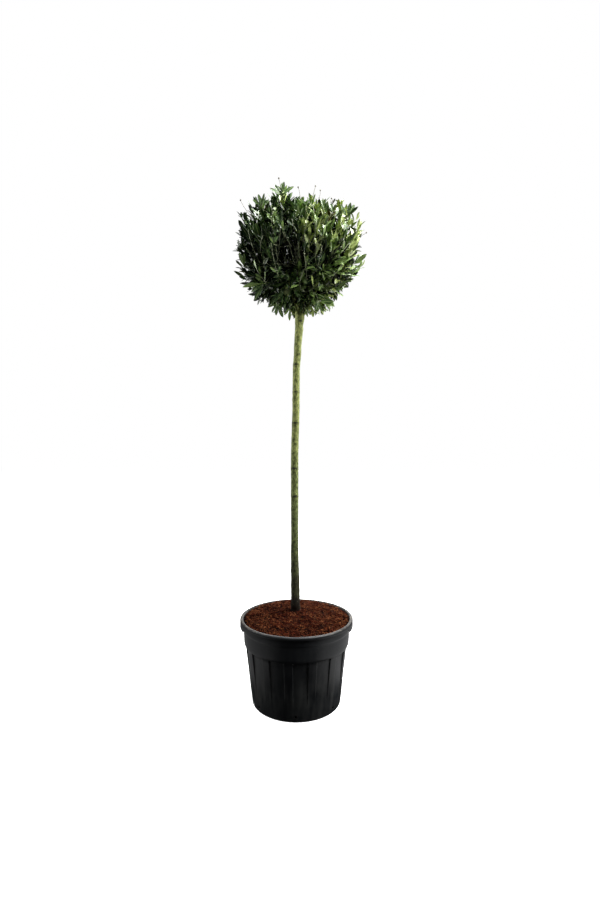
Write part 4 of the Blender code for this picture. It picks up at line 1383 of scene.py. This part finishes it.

# %% [markdown]
# ### The tone of a shoot
# A laurel keeps its leaves for years, so one plant shows many greens. Each shoot gets one of five
# tones, partly by chance and partly as painted light: greener and paler on the side and the top that
# stand in the light and low down, so that lit and shaded shoots are lighter and darker copies of one
# green, and a few shoots are bronze. The leaves that sit further back on a shoot or on a branch are
# the old ones, painted the darkest and dullest of all as the shade inside the crown.
# %% The tone of a shoot
TONES = ("deep", "mid", "fresh", "young_and_lit", "bronze", "old_in_painted_shade")
# Painted light: shoots that face this way, and those at the bottom, get the lighter tones
LIGHT_SIDE = Vector((0.92, -0.20, 0.33))
# How lit a shoot has to be for each tone past the first, and how much chance has in it
TONE_STEPS = (-0.12, 0.36, 0.84)
TONE_STRAY = 0.38
# What the bottom of the crown gains in tone, which is painted light, and the share of bronze shoots
BOTTOM_PAINTED_LIGHT = 0.55
BRONZE_SHARE = 0.03
leaves = {tone: ([], []) for tone in TONES}
chance = random.Random("leaves")


def lit_tone_of(way):
    """The tone of a shoot's leaves, painted lighter the more lit its direction is, and by chance."""
    lit = way.dot(LIGHT_SIDE) + BOTTOM_PAINTED_LIGHT * eased(-way.z, 0.40, 0.75) + chance.gauss(0.0, TONE_STRAY)
    return "bronze" if chance.random() < BRONZE_SHARE else TONES[sum(lit > step for step in TONE_STEPS)]


print("tones", TONES)

# %% [markdown]
# ### Placing one leaf
# A leaf leaves its twig at an angle, turns its upper side up, and strays a little, outwards and up in
# the upper crown and down at the bottom. One that would stand out past the clipped ball is made
# shorter, and left out if that isn't enough, as shears would do it. None closes the dark window.
# %% Place one leaf
# How far out a leaf's tip may be, as shares of the clipped reach
OVERREACH = (0.97, 1.06)
SHORTER = 0.72
WIDTHS = (0.22, 0.34)
SPRAY_WIDTHS = (0.22, 0.31)
# A leaf's bend along its length, as mean and stray, and the range of its cup
BENDS = (0.40, 0.38)
CUPS = (0.08, 0.24)
# How strongly the upper side turns up, and how a leaf strays, leans outwards, and lifts or hangs
FACE_UP = 0.35
STRAY = 0.16
OUTWARDS = 0.06
LIFT = 0.30
HANG = 0.14
# The window stays free of leaves within this share of its width, past this share of the reach
WINDOW_SHARE = 0.9
WINDOW_DEPTH = 0.42


def set_leaf(tone, root, along, face, length, width):
    """Adds a leaf that runs along a unit vector from its root, with its upper side to face."""
    side = along.cross(face).normalized()
    up = side.cross(along)
    frames, bends = leaves[tone]
    frames.append(
        [[side[axis] * width / 2, up[axis] * width, along[axis] * length, root[axis]] for axis in range(3)]
    )
    bends.append((chance.gauss(*BENDS), chance.uniform(*CUPS)))


def grow_leaf(tone, twig, share, turn, opened, length):
    """Puts a leaf on a twig, opened from it by an angle, unless it would leave the crown."""
    root, ahead = twig.at(min(share, 0.995)), twig.ahead(min(share, 0.97))
    across = ahead.orthogonal().normalized()
    across.rotate(Matrix.Rotation(turn, 3, ahead))
    along = ahead * math.cos(opened) + across * math.sin(opened)
    face = ahead * math.sin(opened) - across * math.cos(opened) + UP * FACE_UP
    height = eased(twig.way.z, -0.55, 0.10)
    drift = wobble(STRAY, STRAY, STRAY)
    along = (along + drift + twig.way * OUTWARDS + UP * (LIFT * height - HANG)).normalized()
    for shorter in (1.0, SHORTER):
        arm = root + along * length * shorter - CENTRE
        middle = root + along * length * 0.5 - CENTRE
        reach = clipped_radius(arm.normalized())
        shuts = in_window(arm, WINDOW_SHARE) or in_window(middle, WINDOW_SHARE)
        if shuts and arm.length > WINDOW_DEPTH * reach:
            return
        if arm.length < reach * chance.uniform(*OVERREACH):
            length *= shorter
            set_leaf(tone, root, along, face, length, length * chance.uniform(*WIDTHS))
            return


print("a leaf's width, as a share of its length", WIDTHS)

# %% Leaves on the shoots
LEAF_SPACING = 0.0084
LEAFY_LENGTH = 0.100
# Least, greatest and usual length of a leaf, the large end leaves of some shoots, and their share
LEAF_LENGTHS = (0.028, 0.062, 0.044)
LARGE_LENGTHS = (0.058, 0.080)
LARGE_SHARE = 0.05
LARGE_LEAVES = 6
# Leaves further down a shoot than the first share are old ones, painted near-black as the shade
# inside the crown, and further by the second at the bottom of the crown
SHADED_OLD_FROM = 0.5
SHADED_OLD_LATER = 0.4

for shoot in shoots:
    tone = lit_tone_of(shoot.way)
    large = chance.random() < LARGE_SHARE
    turn = chance.uniform(0.0, math.tau)
    leafy = min(LEAFY_LENGTH, 0.85 * shoot.length)
    count = max(5, round(leafy / LEAF_SPACING))
    # From the tip down the leaves open wider. Those at the tip are shorter, and those at the bottom
    # and on top of the crown are longer
    for index in range(count):
        down = index / (count - 1)
        turn += GOLDEN_ANGLE + chance.gauss(0.0, 0.3)
        opened = math.radians(16.0 + 40.0 * down**0.6 + chance.gauss(0.0, 9.0))
        length = chance.triangular(*LEAF_LENGTHS) * (0.76 + 0.24 * min(1.0, down * 3.0))
        length *= 1.0 + 0.12 * eased(-shoot.way.z, 0.35, 0.75) + 0.12 * eased(shoot.way.z, 0.5, 0.9)
        if large and index < LARGE_LEAVES:
            opened = math.radians(chance.uniform(14.0, 42.0))
            length = chance.uniform(*LARGE_LENGTHS)
        # Painted shade: leaves further back on a shoot get the near-black old tone
        age = "old_in_painted_shade" if down > SHADED_OLD_FROM + SHADED_OLD_LATER * eased(-shoot.way.z, 0.35, 0.6) else tone
        grow_leaf(age, shoot, 1.0 - leafy / shoot.length * down, turn, opened, length)
print("leaves on the shoots", sum(len(frames) for frames, _ in leaves.values()))

# %% Leaves on the sprays, the stems that show and the branches
# The share of fresh leaves in the sprays below the crown's upper part
FRESH_SPRAYS = 0.55
SHOWN_LEAVES = 6
SHOWN_LENGTHS = (0.032, 0.054)
INNER_LEAVES = 11
INNER_LENGTHS = (0.036, 0.056)

for way, root, ends in fans:
    plane = 1.0 if way.y < 0.0 else -1.0
    for turn, length_mm in ends:
        tone = "fresh" if way.z < 0.2 and chance.random() < FRESH_SPRAYS else "mid"
        turn = math.radians(turn)
        outwards = -plane * chance.uniform(-0.10, 0.30)
        along = Vector((plane * math.cos(turn), outwards, math.sin(turn))).normalized()
        face = Vector((chance.gauss(0.0, 0.3), -plane, chance.uniform(0.0, 0.6)))
        length = length_mm / 1000
        set_leaf(tone, root, along, face, length, length * chance.uniform(*SPRAY_WIDTHS))
for stem in shown:
    tone = lit_tone_of(stem.way)
    for index in range(SHOWN_LEAVES):
        opened = math.radians(20.0 + 7.0 * index)
        length = chance.uniform(*SHOWN_LENGTHS)
        grow_leaf(tone, stem, 1.0 - 0.10 * index, index * GOLDEN_ANGLE, opened, length)
# Painted shade: the inner leaves on the branches get the near-black old tone
for branch in branches:
    for index in range(INNER_LEAVES):
        share = 0.35 + 0.65 * index / (INNER_LEAVES - 1)
        opened = math.radians(chance.uniform(30.0, 70.0))
        turn = chance.uniform(0.0, math.tau)
        grow_leaf("old_in_painted_shade", branch, share, turn, opened, chance.uniform(*INNER_LENGTHS))
print("leaves", {tone: len(frames) for tone, (frames, _) in leaves.items()})


# %% [markdown]
# ### Leaf finishes
# The gloss of a laurel leaf comes from a waxy skin, which gives broad pale glints where the blade
# turns to a soft box. Each tone is one plain green, where old leaves are bottle green and new growth
# is yellower, and the greens also hold painted light and shade: paler where the shoots stand in the
# light, and a near-black green, a painted shade, for the old leaves inside. The midrib and the short
# stalk are paler than the blade, and an old leaf has less of the pale midrib and of the gloss.
# %% Leaf materials
LEAF_SPOT_MM = 18.0
# Side veins stand this far apart along a blade of this length
VEIN_MM = 3.686
BLADE_MM = 44.0
VEIN_SLANT = -0.55
# The darkest and the lightest shade of a leaf's green
SHADES = (0.62, 1.30)
# Each tone's green above and below, how much of the pale rib shows, and the level of its gloss
# Painted light: the four greens from deep to the palest are handed out by how lit a shoot is
LEAF_LOOKS = {
    "deep": ("#152B10", "#2A3D20", 0.35, 0.28),
    "mid": ("#385423", "#475532", 0.60, 0.40),
    "fresh": ("#637D3D", "#727F4E", 0.60, 0.40),
    "young_and_lit": ("#879650", "#8B955E", 0.60, 0.40),
    "bronze": ("#4A4222", "#5A5036", 0.60, 0.40),
    # Painted shade: the old leaves' near-black green stands for the shade inside the crown
    "old_in_painted_shade": ("#0C190A", "#1E2B16", 0.12, 0.15),
}
# For the upper and the under side: its name, the rib's colour and the roughness
LEAF_SIDES = (("above", "#96A268", 0.42), ("below", "#8F9968", 0.60))


def leaf_finish(name, hex_colour, rib_colour, roughness, share_of_rib, shine):
    """A waxy blade: one green, a little uneven, with a pale midrib and faint side veins."""
    made, shader, node, place = new_material(name, IOR=1.47, Specular_IOR_Level=shine)
    spots = node("TexNoise", place, 1000 / LEAF_SPOT_MM, 4.0)
    green = linear(hex_colour)[:3]
    shades = [(*(channel * shade for channel in green), 1.0) for shade in SHADES]
    colour = node("Mix", node("MapRange", spots, 0.30, 0.70), *shades, **COLOUR)
    across = node("SeparateXYZ", node("UVMap", uv_map="blade"))
    along = across.node.outputs["Y"]
    off = node("Math", node("Math", across, 0.5, operation="SUBTRACT"), operation="ABSOLUTE")
    rib = node("MapRange", off, 0.10, 0.04, 0.0, share_of_rib)
    stalk = node("MapRange", along, 0.12, 0.06)
    for share in (rib, stalk):
        colour = node("Mix", share, colour, linear(rib_colour), **COLOUR)
    slant = node("Math", off, VEIN_SLANT, along, operation="MULTIPLY_ADD")
    wave = node("Math", slant, math.tau * BLADE_MM / VEIN_MM, operation="MULTIPLY")
    bumped = node("Bump", node("Math", wave, operation="SINE"), 0.10, 0.0003)
    gloss = node("MapRange", spots, 0.0, 1.0, roughness - 0.08, roughness + 0.10)
    fill(shader, {"Base Color": colour, "Normal": bumped, "Roughness": gloss})
    return made


for tone in TONES:
    *greens, rib_share, shine = LEAF_LOOKS[tone]
    finishes = []
    for green, (side, *look) in zip(greens, LEAF_SIDES):
        finishes.append(leaf_finish(f"laurel_leaf_{tone}_{side}", green, *look, rib_share, shine))
    mesh = copies(f"leaves_{tone}", blade, *leaves[tone])
    mesh.set_sharp_from_angle(angle=math.radians(70.0))
    add_piece(f"leaves_{tone}", mesh, "foliage", *finishes)

# %% [markdown]
# ## Spent flower stalks
# Laurel flowers stand in upright candles. After bloom the bare stalks stay for a while, thin and
# grey, with a dark dried knob at the end. A few stand out past the leaves and give the clipped
# ball its wiry halo, so they are modelled one by one.
# %% Spent flower stalks
# Azimuth from the front, elevation and reach from CENTRE
STALKS = (
    (-36.0, 63.0, 0.278),
    (-83.0, 43.0, 0.305),
    (54.0, 67.4, 0.2485),
    (32.0, 64.0, 0.250),
    (68.9, 57.9, 0.241),
    (-3.0, 68.0, 0.240),
    (82.0, 18.0, 0.266),
    (172.0, 60.0, 0.272),
    (-150.0, 34.0, 0.276),
    (130.0, 28.0, 0.268),
    (-120.0, 55.0, 0.262),
    (100.0, 50.0, 0.258),
)
STALK_SPOT_MM = 6.25
STALK_LENGTH = 0.105
STALK_RADII = (0.00100, 0.00068)
KNOB_SIZES = (0.0024, 0.0032)
KNOB_UNEVEN = 0.18

# Dead, dry and matt: the eye sees thin brown-grey wires against the white
dry_stalk, shader, node, place = new_material("dried_flower_stalk", Roughness=0.8)
spots = node("MapRange", node("TexNoise", place, 1000 / STALK_SPOT_MM, 4.0), 0.4, 0.6)
colour = node("Mix", spots, linear("#3B3226"), linear("#7A7560"), **COLOUR)
fill(shader, {"Base Color": colour})
chance = random.Random("stalks")
stalk_lines = []
knobs = []
for azimuth, elevation, reach in STALKS:
    way = heading(azimuth, elevation)
    tip = CENTRE + way * reach
    root = CENTRE + way * (reach - STALK_LENGTH) + Vector((*wobble(0.008, 0.008), -0.010))
    bend = tip - (way + Vector((*wobble(0.2, 0.2), 0.5))).normalized() * 0.05
    stalk_lines.append(Limb(way, root, bend, tip).line(8, *STALK_RADII))
    size = chance.uniform(*KNOB_SIZES)
    matrix = Matrix.Translation(tip - way * size * 0.5) @ Matrix.Diagonal((size, size, size * 1.1, 1.0))
    knobs.append([list(row) for row in matrix[:3]])
bm = bmesh.new()
bm.from_mesh(limbs_mesh("stalks", stalk_lines, TWIG_SIDES))
bm.from_mesh(copies("knobs", uneven_ball(2, KNOB_UNEVEN, 3.0), knobs))
add_piece("spent_flower_stalks", mesh_of(bm, "spent_flower_stalks"), "foliage", dry_stalk)

# %% [markdown]
# ## Measure and finish
# The dressed plant is measured beside the imported model, and the sizes of both boxes are printed.
# %% Print the sizes
boxes = {"cad": cad_box, "visual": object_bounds()}
sizes = {name: [[float(value) for value in corner] for corner in box] for name, box in boxes.items()}
for name, (low, high) in sizes.items():
    print(name, "size, mm", [round(1000 * (b - a)) for a, b in zip(low, high)])
